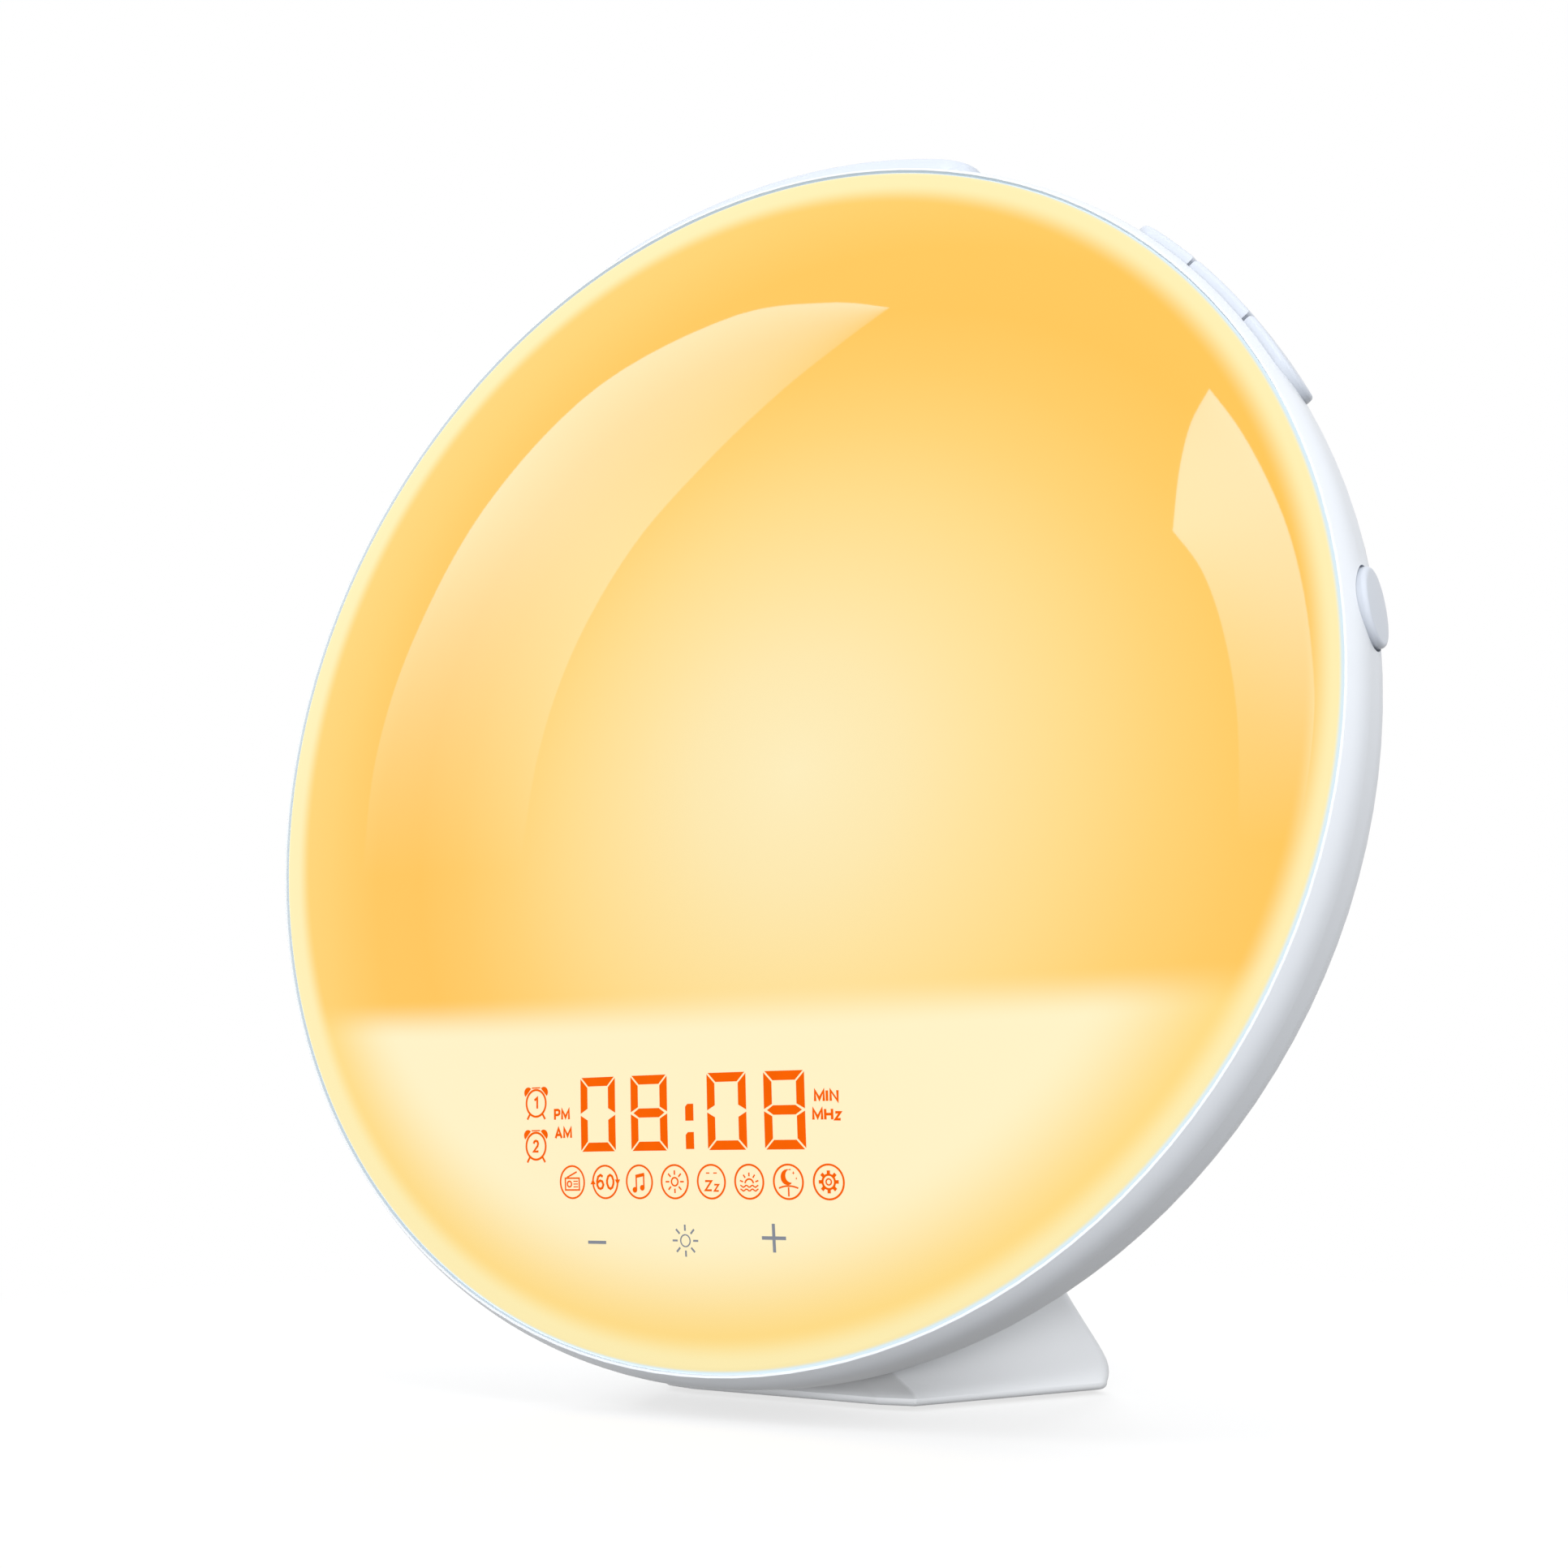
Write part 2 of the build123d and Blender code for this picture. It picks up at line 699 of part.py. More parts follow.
def lamp_ring(radius, count, side, height, turn=0.0):
    """Lamps in a ring on the lamp board."""
    face = -tray_depth + tray_wall + lamp_board_thickness
    lamps = []
    for index in range(count):
        a = radians(turn + 360.0 * index / count)
        x, y = radius * cos(a), radius * sin(a)
        if on_board(x, y):
            lamp = block((-side / 2, side / 2), (-side / 2, side / 2), (face, face + height))
            lamps.append(Pos(x, y, 0) * (Rot(0, 0, degrees(a)) * lamp))
    return lamps


def warm_leds():
    """Warm white lamps in three rings."""
    lamps = []
    for radius, count in zip(warm_ring_radii, warm_ring_counts):
        lamps += lamp_ring(radius, count, lamp_side, lamp_height, 180.0 / count)
    return lamps


def colour_leds():
    """Three-colour lamps in one ring."""
    return lamp_ring(colour_ring_radius, colour_count, colour_lamp_side, colour_lamp_height)


# ---- display
def display_board():
    """Board of the display and the touch fields, shaped to the lower part of the tray."""
    front = -display_board_front
    back = front - display_board_thickness
    board = rod(display_board_radius, back, front)
    board &= block((-display_board_radius, display_board_radius),
                   (-display_board_radius, display_board_top), (back, front))
    for x, y in display_posts:
        board -= Pos(x, y, 0) * rod(small_clear_radius, back - 1, front + 1)
    return board


def segment(x, y, length, upright):
    """One bar of a digit, with pointed ends."""
    half, w = length / 2, segment_width / 2
    points = [(-half, 0), (-half + w, w), (half - w, w), (half, 0), (half - w, -w), (-half + w, -w)]
    if upright:
        points = [(-b, a) for a, b in points]
    return Pos(x, y) * polygon(*points)


def segment_places():
    """Place, length and direction of each bar of the four digits."""
    places = []
    across = 2 * (digit_half_width - segment_width / 2 - segment_gap)
    tall = digit_half_height - segment_width / 2
    upright_length = tall - 2 * segment_gap
    side = digit_half_width - segment_width / 2
    for offset in digit_offsets:
        x = display_x + offset
        for level in (-1, 0, 1):
            places.append((x, digit_row + level * tall, across, False))
        for level in (-0.5, 0.5):
            for edge in (-1, 1):
                places.append((x + edge * side, digit_row + level * tall, upright_length, True))
    return places


def spot_places():
    """Places of the round wells: colon dots, icons, alarm marks and captions."""
    dots = [(display_x, digit_row - colon_offset), (display_x, digit_row + colon_offset)]
    first = display_x - icon_pitch * (icon_count - 1) / 2
    icons = [(first + index * icon_pitch, icon_row) for index in range(icon_count)]
    alarms = [(alarm_x, row) for row in alarm_rows]
    captions = [(x, row) for x in caption_xs for row in caption_rows]
    return dots, icons + alarms, captions


def digit_reflector():
    """Block between the display board and the dome with a well for every bar and icon."""
    body = block((block_left, block_right), (block_bottom, block_top),
                 (-display_board_front, dome_rise))
    body &= ball_cap(dome_ball - dome_wall - block_dome_gap, tray_radius, -display_board_front)
    dots, icons, captions = spot_places()
    wells = [segment(x, y, length, upright) for x, y, length, upright in segment_places()]
    wells += [Pos(x, y) * Circle(segment_width / 2) for x, y in dots]
    wells += [Pos(x, y) * Circle(icon_well_radius) for x, y in icons]
    wells += [Pos(x, y) * Rectangle(caption_width, caption_height) for x, y in captions]
    for well in wells:
        depth = display_board_front + 2 * dome_rise
        body -= Pos(0, 0, -display_board_front - 1) * extrude(well, amount=depth)
    return body


def display_film():
    """Thin film in front of the wells, bent to the dome."""
    sheet = block((block_left, block_right), (block_bottom, block_top), (-1, dome_rise))
    outer = ball_cap(dome_ball - dome_wall - film_dome_gap, tray_radius, -5)
    inner = ball_cap(dome_ball - dome_wall - film_dome_gap - film_thickness, tray_radius, -5)
    return sheet & outer - inner


def digit_leds():
    """One tiny lamp on the display board under every bar, dot, icon and caption."""
    dots, icons, captions = spot_places()
    places = [(x, y) for x, y, _, _ in segment_places()] + dots + icons + captions
    half = digit_lamp / 2
    front = -display_board_front
    lamps = []
    for x, y in places:
        lamps.append(block((x - half, x + half), (y - half, y + half),
                           (front, front + digit_lamp_height)))
    return lamps


def touch_springs():
    """Wire springs from the display board to the dome behind the three touch marks."""
    springs = []
    start = -display_board_front + touch_wire_radius
    for x in touch_xs:
        top = dome_inside(sqrt(x ** 2 + touch_row ** 2) + touch_spring_radius, touch_dome_gap)
        height = top - touch_wire_radius - start
        path = Helix(pitch=height / touch_turns, height=height, radius=touch_spring_radius)
        wire = Plane(origin=path @ 0, z_dir=path % 0) * Circle(touch_wire_radius)
        springs.append(Pos(x, touch_row, start) * sweep(wire, path))
    return springs


# ---- main board
def main_post_places():
    """Corner posts that carry the main board behind the tray."""
    x = main_board_half_width - main_post_inset
    y = main_board_half_height - main_post_inset
    return [(i * x, main_board_y + j * y) for i in (-1, 1) for j in (-1, 1)]


def main_board():
    """Main circuit board with rounded corners."""
    outline = RectangleRounded(2 * main_board_half_width, 2 * main_board_half_height,
                               main_board_corner)
    back = -main_board_face - main_board_thickness
    board = Pos(0, main_board_y, back) * extrude(outline, amount=main_board_thickness)
    for x, y in main_post_places():
        board -= Pos(x, y, 0) * rod(small_clear_radius, back - 1, -main_board_face + 1)
    return board


def main_chips():
    """Processor, radio tuner, amplifier and clock chips on the main board."""
    back = -main_board_face - main_board_thickness
    return [block((x - w / 2, x + w / 2), (y - h / 2, y + h / 2), (back - t, back))
            for (x, y), (w, h, t) in zip(chip_places, chip_sizes)]


def capacitors():
    """Upright can capacitors on the main board."""
    back = -main_board_face - main_board_thickness
    return [Pos(x, y, 0) * rod(r, back - h, back)
            for (x, y), (r, h) in zip(can_places, can_sizes)]


def cell_holder():
    """Round holder of the clock's back-up cell."""
    back = -main_board_face - main_board_thickness
    outer = cell_radius + fit_gap + holder_wall
    depth = holder_floor + cell_height
    holder = rod(outer, back - depth, back) - rod(cell_radius + fit_gap, back - depth - 1,
                                                  back - holder_floor)
    slot = block((-holder_slot / 2, holder_slot / 2), (0, outer + 1),
                 (back - depth - 1, back - holder_floor))
    return Pos(cell_x, cell_y, 0) * (holder - slot)


def backup_cell():
    """Coin cell, with the smaller cap of its negative side."""
    back = -main_board_face - main_board_thickness - holder_floor
    cell = rod(cell_radius, back - cell_height + 0.6, back)
    cell += rod(cell_radius - 1.6, back - cell_height, back - cell_height + 0.6)
    return Pos(cell_x, cell_y, 0) * cell


# ---- loudspeaker
def speaker_face():
    """Height of the inner face of the pod's back wall."""
    return -pod_depth + skin


def speaker_gasket():
    """Foam ring between the speaker's edge and the pod's back wall."""
    face = speaker_face()
    return washer(speaker_radius - 3.6, speaker_opening_radius, face, face + gasket_thickness)


def flange_low():
    """Height of the side of the basket's flange that faces the pod's back wall."""
    return speaker_face() + gasket_thickness + surround_wall


def basket_rear():
    """Height of the basket's end, where the magnet system starts."""
    return flange_low() + basket_depth


def speaker_frame():
    """Pressed basket: a flat flange, a wall with four windows and a plate for the magnet."""
    low = flange_low()
    top = low + speaker_flange
    bend = low + basket_straight
    rear = basket_rear()
    frame = washer(speaker_radius, speaker_opening_radius, low, top)
    wall = polygon((speaker_opening_radius, low), (speaker_opening_radius + basket_wall, low),
                   (speaker_opening_radius + basket_wall, bend),
                   (basket_rear_radius + basket_wall, rear), (basket_rear_radius, rear),
                   (speaker_opening_radius, bend))
    windows = [Rot(0, 0, 90 * index) * block((basket_rear_radius, speaker_radius), (-7.0, 7.0),
                                             (bend, rear - 3.5)) for index in range(4)]
    frame += turned(wall) - windows
    frame += washer(basket_rear_radius + basket_wall, coil_radius + 2.0, rear - basket_wall, rear)
    for x, y in speaker_boss_places():
        frame -= Pos(x, y, 0) * rod(small_clear_radius, low - 1, top + 1)
    return frame


def speaker_surround():
    """Rubber edge of the cone: a flat rim under the flange, a half-round roll and an inner rim."""
    low = speaker_face() + gasket_thickness
    top = low + surround_wall
    middle, half = surround_middle, surround_width / 2
    inner = half - surround_wall
    outer_rim = speaker_radius - 3.6
    inner_rim = middle - half - surround_rim
    edges = Polyline((middle + inner, top), (middle + inner, low), (outer_rim, low), (outer_rim, top),
                     (middle + half, top))
    edges += ThreePointArc((middle + half, top), (middle, top + half), (middle - half, top))
    edges += Polyline((middle - half, top), (inner_rim, top), (inner_rim, low),
                      (middle - inner, low), (middle - inner, top))
    edges += ThreePointArc((middle - inner, top), (middle, top + inner), (middle + inner, top))
    return turned(make_face(edges))


def cone_low():
    """Height of the cone's edge, on the inner rim of the surround."""
    return speaker_face() + gasket_thickness + surround_wall


def speaker_cone():
    """Paper cone with a flat edge, down to the voice coil."""
    low = cone_low()
    rim = cone_radius - surround_rim
    return turned(polygon((cone_radius, low), (cone_radius, low + cone_wall), (rim, low + cone_wall),
                          (coil_radius, low + cone_depth + cone_wall),
                          (coil_radius, low + cone_depth), (rim, low)))


def speaker_dust_cap():
    """Small dome glued to the middle of the cone."""
    radius = coil_radius + 1.6
    cone_run = cone_radius - surround_rim
    rim = cone_low() + cone_depth * (cone_run - radius) / (cone_run - coil_radius)
    ball = (radius ** 2 + dust_cap_rise ** 2) / (2 * dust_cap_rise)
    cap = Pos(0, 0, rim - dust_cap_rise + ball) * (Sphere(ball) - Sphere(ball - cone_wall))
    return cap & rod(radius, rim - dust_cap_rise - 1, rim)


def speaker_spider():
    """Fabric disc that centres the voice coil, glued to the plate of the basket."""
    seat_height = basket_rear() - basket_wall
    top = seat_height - spider_rise
    wall = spider_wall
    foot = spider_radius - 2.2
    knee = foot - 1.0
    return turned(polygon((spider_radius, seat_height), (foot, seat_height), (knee, top),
                          (coil_radius, top), (coil_radius, top - wall), (knee - 0.2, top - wall),
                          (foot - 0.2, seat_height - wall), (spider_radius, seat_height - wall)))


def voice_coil():
    """Thin tube with its winding, glued into the cone's throat."""
    low = cone_low() + cone_depth - 0.5
    return washer(coil_radius, coil_radius - coil_wall, low, low + coil_height)


def speaker_top_plate():
    """Steel plate between basket and magnet."""
    low = basket_rear()
    return washer(magnet_radius - 2.0, coil_radius + 0.4, low, low + plate_height)


def speaker_magnet():
    """Ferrite ring."""
    low = basket_rear() + plate_height
    return washer(magnet_radius, magnet_bore_radius, low, low + magnet_height)


def speaker_yoke():
    """Steel back plate with the pole that stands in the voice coil."""
    low = basket_rear() + plate_height + magnet_height
    plate = rod(magnet_radius - 2.0, low, low + plate_height)
    return plate + rod(pole_radius, basket_rear(), low)


def speaker_grille():
    """Perforated disc in the back of the pod."""
    disc = rod(grille_radius, -pod_depth, -pod_depth + grille_thickness)
    holes = [Cylinder(grille_hole_radius, 3 * grille_thickness)]
    for ring in range(1, grille_hole_rings + 1):
        for index in range(6 * ring):
            a = radians(360.0 * index / (6 * ring))
            radius = ring * grille_ring_pitch
            holes.append(Pos(radius * cos(a), radius * sin(a), 0)
                         * Cylinder(grille_hole_radius, 3 * grille_thickness))
    return disc - [Pos(0, 0, -pod_depth + grille_thickness / 2) * hole for hole in holes]


def speaker_boss_places():
    """Places of the four speaker screws."""
    return [(speaker_screw_radius * cos(radians(a)), speaker_screw_radius * sin(radians(a)))
            for a in (45, 135, 225, 315)]


# ---- rear cover
def socket_pocket(grow=0.0):
    """Block of the socket recess in the back, open to the rear."""
    return block((-pocket_half_width - grow, pocket_half_width + grow),
                 (pocket_bottom - grow, pocket_top + grow), (-pod_depth, -pocket_floor + grow))


def rear_cover():
    """Bowl-shaped back with the speaker pod, the socket recess and the screw tubes."""
    outer = bowl(0.0)
    pod_root = bowl_root_height()
    outer = fillet(round_edges(outer, pod_radius, -pod_depth), pod_edge_round)
    outer = fillet(round_edges(outer, pod_radius, pod_root), pod_root_round)
    cover = outer - bowl(skin)
    cover += (socket_pocket(pocket_wall) & outer) - socket_pocket()
    cover -= socket_pocket()
    for angle in case_screw_angles:
        tube = Pos(case_screw_radius, 0, 0) * rod(case_tube_radius, -pod_depth, -parting)
        bore = Pos(case_screw_radius, 0, 0) * rod(case_head_radius + 0.4, -pod_depth,
                                                  -case_head_depth)
        hole = Pos(case_screw_radius, 0, 0) * rod(case_shank_radius + 0.3, -pod_depth, 0)
        cover += Rot(0, 0, angle) * tube & outer
        cover -= Rot(0, 0, angle) * (bore + hole)
    face = speaker_face()
    cover -= rod(grille_radius - grille_ledge, -pod_depth - 1, face + 1)
    cover -= rod(grille_radius + fit_gap, -pod_depth - 1, -pod_depth + grille_thickness)
    for x, y in speaker_boss_places():
        cover += Pos(x, y, 0) * rod(speaker_boss_radius, face - 0.5, flange_low())
        cover -= Pos(x, y, 0) * rod(small_shank_radius, face - 1.6, face + 2)
    cover -= socket_openings()
    cover += block((-socket_board_half_width, socket_board_half_width),
                   (pocket_bottom - socket_shelf_thickness, pocket_bottom),
                   (-pocket_floor, -pocket_floor + pocket_wall + socket_board_length))
    for x in (-1, 1):
        cover += foot_screw_block(x) & outer
        cover -= foot_screw_hole(x)
    return cover


def bowl_root_height():
    """Height where the bowl's bulge meets the pod."""
    a = radians(shoulder_angle)
    swing = back_bulge_radius - shoulder_radius
    centre_x = housing_radius - shoulder_radius - swing * cos(a)
    centre_z = -ring_barrel + swing * sin(a)
    return centre_z - sqrt(back_bulge_radius ** 2 - (pod_radius - centre_x) ** 2)


# ---- sockets
def socket_board():
    """Small board under the two sockets, on a shelf of the cover."""
    back = -pocket_floor + pocket_wall + fit_gap
    return block((-socket_board_half_width, socket_board_half_width),
                 (pocket_bottom, socket_base()), (back, back + socket_board_length))


def socket_base():
    """Height of the face that the sockets stand on."""
    return pocket_bottom + socket_board_thickness


def dc_jack():
    """Round low-voltage inlet with its centre pin."""
    back = -pocket_floor + pocket_wall
    base = socket_base()
    half = jack_width / 2
    body = block((jack_x - half, jack_x + half), (base, base + jack_height),
                 (back, back + jack_length))
    axis = Pos(jack_x, base + jack_height / 2, 0)
    body -= axis * rod(jack_bore_radius, back - 1, back + jack_bore_depth)
    return body + axis * rod(jack_pin_radius, back + 1.5, back + jack_bore_depth + 0.5)


def usb_socket():
    """Charging outlet: a thin steel shell round a plastic tongue."""
    back = -pocket_floor + pocket_wall
    base = socket_base()
    half = usb_width / 2
    shell = block((usb_x - half, usb_x + half), (base, base + usb_height), (back, back + usb_length))
    shell -= block((usb_x - half + usb_shell, usb_x + half - usb_shell),
                   (base + usb_shell, base + usb_height - usb_shell),
                   (back - 1, back + usb_length - 2.0))
    tongue_low = base + usb_height / 2
    return shell + block((usb_x - half + 1.2, usb_x + half - 1.2),
                         (tongue_low, tongue_low + usb_tongue_thickness),
                         (back + 0.8, back + usb_length - 1.0))


def socket_openings():
    """Holes in the floor of the recess for the plugs."""
    base = socket_base()
    floor = (-pocket_floor - 1, -pocket_floor + pocket_wall + 0.01)
    round_hole = Pos(jack_x, base + jack_height / 2, 0) * rod(jack_bore_radius + socket_clear, *floor)
    half = usb_width / 2
    square_hole = block((usb_x - half - 0.2, usb_x + half + 0.2),
                        (base - 0.2, base + usb_height + 0.2), floor)
    return round_hole + square_hole


# ---- foot, drawn upright in the clock's own frame
def foot_outline(side_inset, heel_inset, rear_inset, front_inset, height, skin_inset=0.0):
    """Outline of the foot at one height: a front cut off at its corners, spread sides, a bowed heel."""
    front_half = foot_front_half - side_inset
    shoulder_half = foot_shoulder_half - side_inset
    heel_half = foot_heel_half - side_inset
    front = disc_y + foot_front_y + front_inset
    shoulder = disc_y + foot_shoulder_y + front_inset
    heel = disc_y + foot_heel_y - heel_inset
    rear = disc_y + foot_rear_y - rear_inset
    edges = Polyline((-heel_half, heel), (-shoulder_half, shoulder), (-front_half, front),
                     (front_half, front), (shoulder_half, shoulder), (heel_half, heel))
    edges += ThreePointArc((heel_half, heel), (0, rear), (-heel_half, heel))
    outline = make_face(edges)
    outline = fillet(outline.vertices().filter_by(lambda v: v.Y > heel - 1), foot_corner_round)
    outline = fillet(outline.vertices().filter_by(lambda v: v.Y < shoulder + 1), foot_front_round)
    if skin_inset:
        outline = offset(outline, amount=-skin_inset, kind=Kind.INTERSECTION)
    return Pos(0, 0, height) * outline


def foot_mass(skin_inset=0.0, low=foot_lift):
    """Solid of the foot up to inside the housing: a low lip with a round edge, then the flare."""
    sections = [foot_outline(0, 0, 0, 0, max(low, foot_lip_height), skin_inset)]
    sections += [foot_outline(side, heel, rear, front, height, skin_inset)
                 for height, side, heel, rear, front in foot_flare]
    mass = loft(sections)
    if low < foot_lip_height:
        lip = extrude(foot_outline(0, 0, 0, 0, low, skin_inset), amount=foot_lip_height - low)
        mass += fillet(lip.edges().group_by(Axis.Z)[0], foot_bevel)
    return mass


def foot_screw_block(side):
    """Solid block in the cover under the head of a foot screw, drawn in the disc's frame."""
    high = -foot_screw_reach() + foot_pad_height
    return Pos(side * foot_screw_x, 0, -foot_screw_z) * (
        Rot(90, 0, 0) * rod(foot_boss_radius, -high, housing_radius))


def foot_screw_reach():
    """Distance from the disc's axis to the bowl's skin where the foot screws pass."""
    a = radians(shoulder_angle)
    swing = back_bulge_radius - shoulder_radius
    centre_x = housing_radius - shoulder_radius - swing * cos(a)
    centre_z = -ring_barrel + swing * sin(a)
    reach = centre_x + sqrt(back_bulge_radius ** 2 - (centre_z + foot_screw_z) ** 2)
    return sqrt(reach ** 2 - foot_screw_x ** 2)


def foot_screw_hole(side):
    """Clearance hole of a foot screw through the cover."""
    return Pos(side * foot_screw_x, 0, -foot_screw_z) * (
        Rot(90, 0, 0) * rod(small_clear_radius, 20, housing_radius + 5))


def stand():
    """Hollow flared foot, closed on top by a skin that fits the bowl."""
    fitted = seat(bowl(0.0))
    outer = foot_mass() - fitted
    ledge = foot_lift + base_recess + base_thickness
    hollow = foot_mass(foot_skin, ledge) - seat(bowl(-foot_skin))
    foot = outer - hollow
    foot -= extrude(foot_outline(0, 0, 0, 0, 0, base_inset - fit_gap), amount=ledge)
    bosses = []
    for x, y in base_screw_places:
        bosses.append(Pos(x, disc_y + y, 0) * rod(base_boss_radius, ledge, disc_z))
    for side in (-1, 1):
        column = Pos(side * foot_screw_x, 0, -foot_screw_z) * (
            Rot(90, 0, 0) * rod(foot_boss_radius, foot_screw_reach() - 3,
                                foot_screw_reach() + foot_boss_depth))
        bosses.append(seat(column))
    inner_keep = foot_mass(foot_skin / 2, ledge) & outer
    for boss in bosses:
        foot += boss & inner_keep
    for x, y in base_screw_places:
        foot -= Pos(x, disc_y + y, 0) * rod(small_shank_radius, ledge - 1, ledge + base_pilot_depth)
    for side in (-1, 1):
        pilot = Pos(side * foot_screw_x, 0, -foot_screw_z) * (
            Rot(90, 0, 0) * rod(small_shank_radius, foot_screw_reach() - 6, foot_screw_reach() + 7))
        foot -= seat(pilot)
    return foot


def stand_base():
    """Plate that closes the foot from below, with recesses for the rubber pads."""
    low = foot_lift + base_recess
    plate = extrude(foot_outline(0, 0, 0, 0, low, base_inset), amount=base_thickness)
    for x, y in pad_places:
        plate -= Pos(x, disc_y + y, 0) * rod(pad_radius, low - 1, pad_height)
    for x, y in base_screw_places:
        plate -= Pos(x, disc_y + y, 0) * rod(small_clear_radius, 0, low + base_thickness + 1)
        plate -= Pos(x, disc_y + y, 0) * rod(small_head_radius + run_gap, low - 1,
                                             low + base_screw_recess)
    return plate


def rubber_feet():
    """Four round rubber pads under the base plate."""
    pads = []
    for x, y in pad_places:
        pad = rod(pad_radius, 0, pad_height)
        pad = chamfer(round_edges(pad, pad_radius, 0), 0.4)
        pads.append(Pos(x, disc_y + y, 0) * pad)
    return pads


def base_screws():
    """Screws that hold the base plate in the foot."""
    head_at = foot_lift + base_recess + base_screw_recess
    return [Pos(x, disc_y + y, 0) * small_screw(head_at, -1) for x, y in base_screw_places]


def foot_screws():
    """Screws from inside the cover down into the foot."""
    screws = []
    head_at = foot_screw_reach() - foot_pad_height
    for side in (-1, 1):
        shank = rod(small_shank_radius, head_at, foot_screw_reach() + 6)
        head = rod(small_head_radius, head_at - small_head_height, head_at)
        screws.append(Pos(side * foot_screw_x, 0, -foot_screw_z) * (Rot(90, 0, 0) * (shank + head)))
    return screws


def case_screws():
    """Six long screws through cover and tray into the ring."""
    screws = []
    for angle in case_screw_angles:
        top = -case_head_depth - case_head_height
        head = rod(case_head_radius, top, -case_head_depth)
        for turn in (0, 90):
            head -= Pos(0, 0, top) * (Rot(0, 0, turn) * Box(case_slot_width, case_slot_length, 1.6))
        shank = rod(case_pilot_radius, -case_head_depth, -case_screw_tip)
        screws.append(Rot(0, 0, angle) * (Pos(case_screw_radius, 0, 0) * (head + shank)))
    return screws


def board_screws():
    """Screws of the key, lamp, display and main boards and of the speaker."""
    screws = key_board_screws()
    lamp_top = -tray_depth + tray_wall + lamp_board_thickness
    for x, y in lamp_screw_places():
        short = rod(small_head_radius, lamp_top, lamp_top + small_head_height)
        short += rod(small_shank_radius, lamp_top - lamp_board_thickness, lamp_top)
        screws.append(Pos(x, y, 0) * short)
    for x, y in display_posts:
        screws.append(Pos(x, y, 0) * small_screw(-display_board_front))
    for x, y in main_post_places():
        screws.append(Pos(x, y, 0) * small_screw(-main_board_face - main_board_thickness, -1))
    flange_top = flange_low() + speaker_flange
    for x, y in speaker_boss_places():
        short = rod(small_head_radius, flange_top, flange_top + small_head_height)
        short += rod(small_shank_radius, flange_top - 3.0, flange_top)
        screws.append(Pos(x, y, 0) * short)
    return screws


# ---- write the pieces
def as_node(shape):
    """One shape, or a group of separate solids, ready to write."""
    solids = []
    for piece in shape if isinstance(shape, list) else [shape]:
        solids += piece.solids()
    return solids[0] if len(solids) == 1 else Compound(children=solids)


def write(name, shape):
    export_step(as_node(shape), f"parts/{name}.step")


os.makedirs("parts", exist_ok=True)

leaning = {
    "diffuser_dome": diffuser_dome(), "front_ring": front_ring(), "rear_cover": rear_cover(),
    "speaker_grille": speaker_grille(), "reflector_tray": reflector_tray(),
    "light_partition": light_partition(), "led_board": lamp_board(), "warm_leds": warm_leds(),
    "colour_leds": colour_leds(), "display_board": display_board(),
    "digit_reflector": digit_reflector(), "display_film": display_film(),
    "digit_leds": digit_leds(), "touch_springs": touch_springs(), "main_board": main_board(),
    "main_chips": main_chips(), "capacitors": capacitors(), "cell_holder": cell_holder(),
    "backup_cell": backup_cell(), "speaker_gasket": speaker_gasket(),
    "speaker_frame": speaker_frame(), "speaker_surround": speaker_surround(),
    "speaker_cone": speaker_cone(), "speaker_dust_cap": speaker_dust_cap(),
    "speaker_spider": speaker_spider(),
    "voice_coil": voice_coil(), "speaker_top_plate": speaker_top_plate(),
    "speaker_magnet": speaker_magnet(), "speaker_yoke": speaker_yoke(),
    "socket_board": socket_board(), "dc_jack": dc_jack(), "usb_socket": usb_socket(),
    "key_boards": key_boards(), "case_screws": case_screws(), "stand_screws": foot_screws(),
    "board_screws": board_screws(),
}
switches = []
for name, plane, outline, proud, crown, low, high, wing_low, wing_high, stem_at in key_layout():
    leaning[name] = key_cap(plane, outline, proud, crown, low, high, wing_low, wing_high, stem_at)
    leaning[name.replace("key", "plunger")] = plunger(plane, stem_at)
    switches.append(tact_switch(plane, stem_at))
leaning["key_switches"] = switches

for name, shape in leaning.items():
    pieces = shape if isinstance(shape, list) else [shape]
    write(name, [seat(piece) for piece in pieces])

for name, shape in {"stand": stand(), "stand_base": stand_base(), "rubber_feet": rubber_feet(),
                    "base_screws": base_screws()}.items():
    write(name, shape)
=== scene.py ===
# A round sunrise alarm clock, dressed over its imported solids.
# Metres, +Z up, the lit face looks towards -Y. Each section below is one piece or one group of
# like pieces, in the order in which the clock is put together.
import math

import bmesh
import bpy
from mathutils import Matrix, Vector


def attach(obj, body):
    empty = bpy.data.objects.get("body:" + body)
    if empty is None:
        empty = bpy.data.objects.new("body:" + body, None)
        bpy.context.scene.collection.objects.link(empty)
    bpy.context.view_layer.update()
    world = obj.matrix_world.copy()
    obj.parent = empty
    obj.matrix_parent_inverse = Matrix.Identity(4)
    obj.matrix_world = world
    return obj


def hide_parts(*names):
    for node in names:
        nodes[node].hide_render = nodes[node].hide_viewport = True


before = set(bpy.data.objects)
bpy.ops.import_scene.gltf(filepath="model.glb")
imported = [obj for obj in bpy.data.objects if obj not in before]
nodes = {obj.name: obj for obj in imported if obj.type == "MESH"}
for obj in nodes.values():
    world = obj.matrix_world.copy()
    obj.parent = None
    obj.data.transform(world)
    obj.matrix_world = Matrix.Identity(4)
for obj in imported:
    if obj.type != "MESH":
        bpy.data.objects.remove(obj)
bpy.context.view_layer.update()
scene = bpy.context.scene
scene.view_settings.view_transform = "Standard"


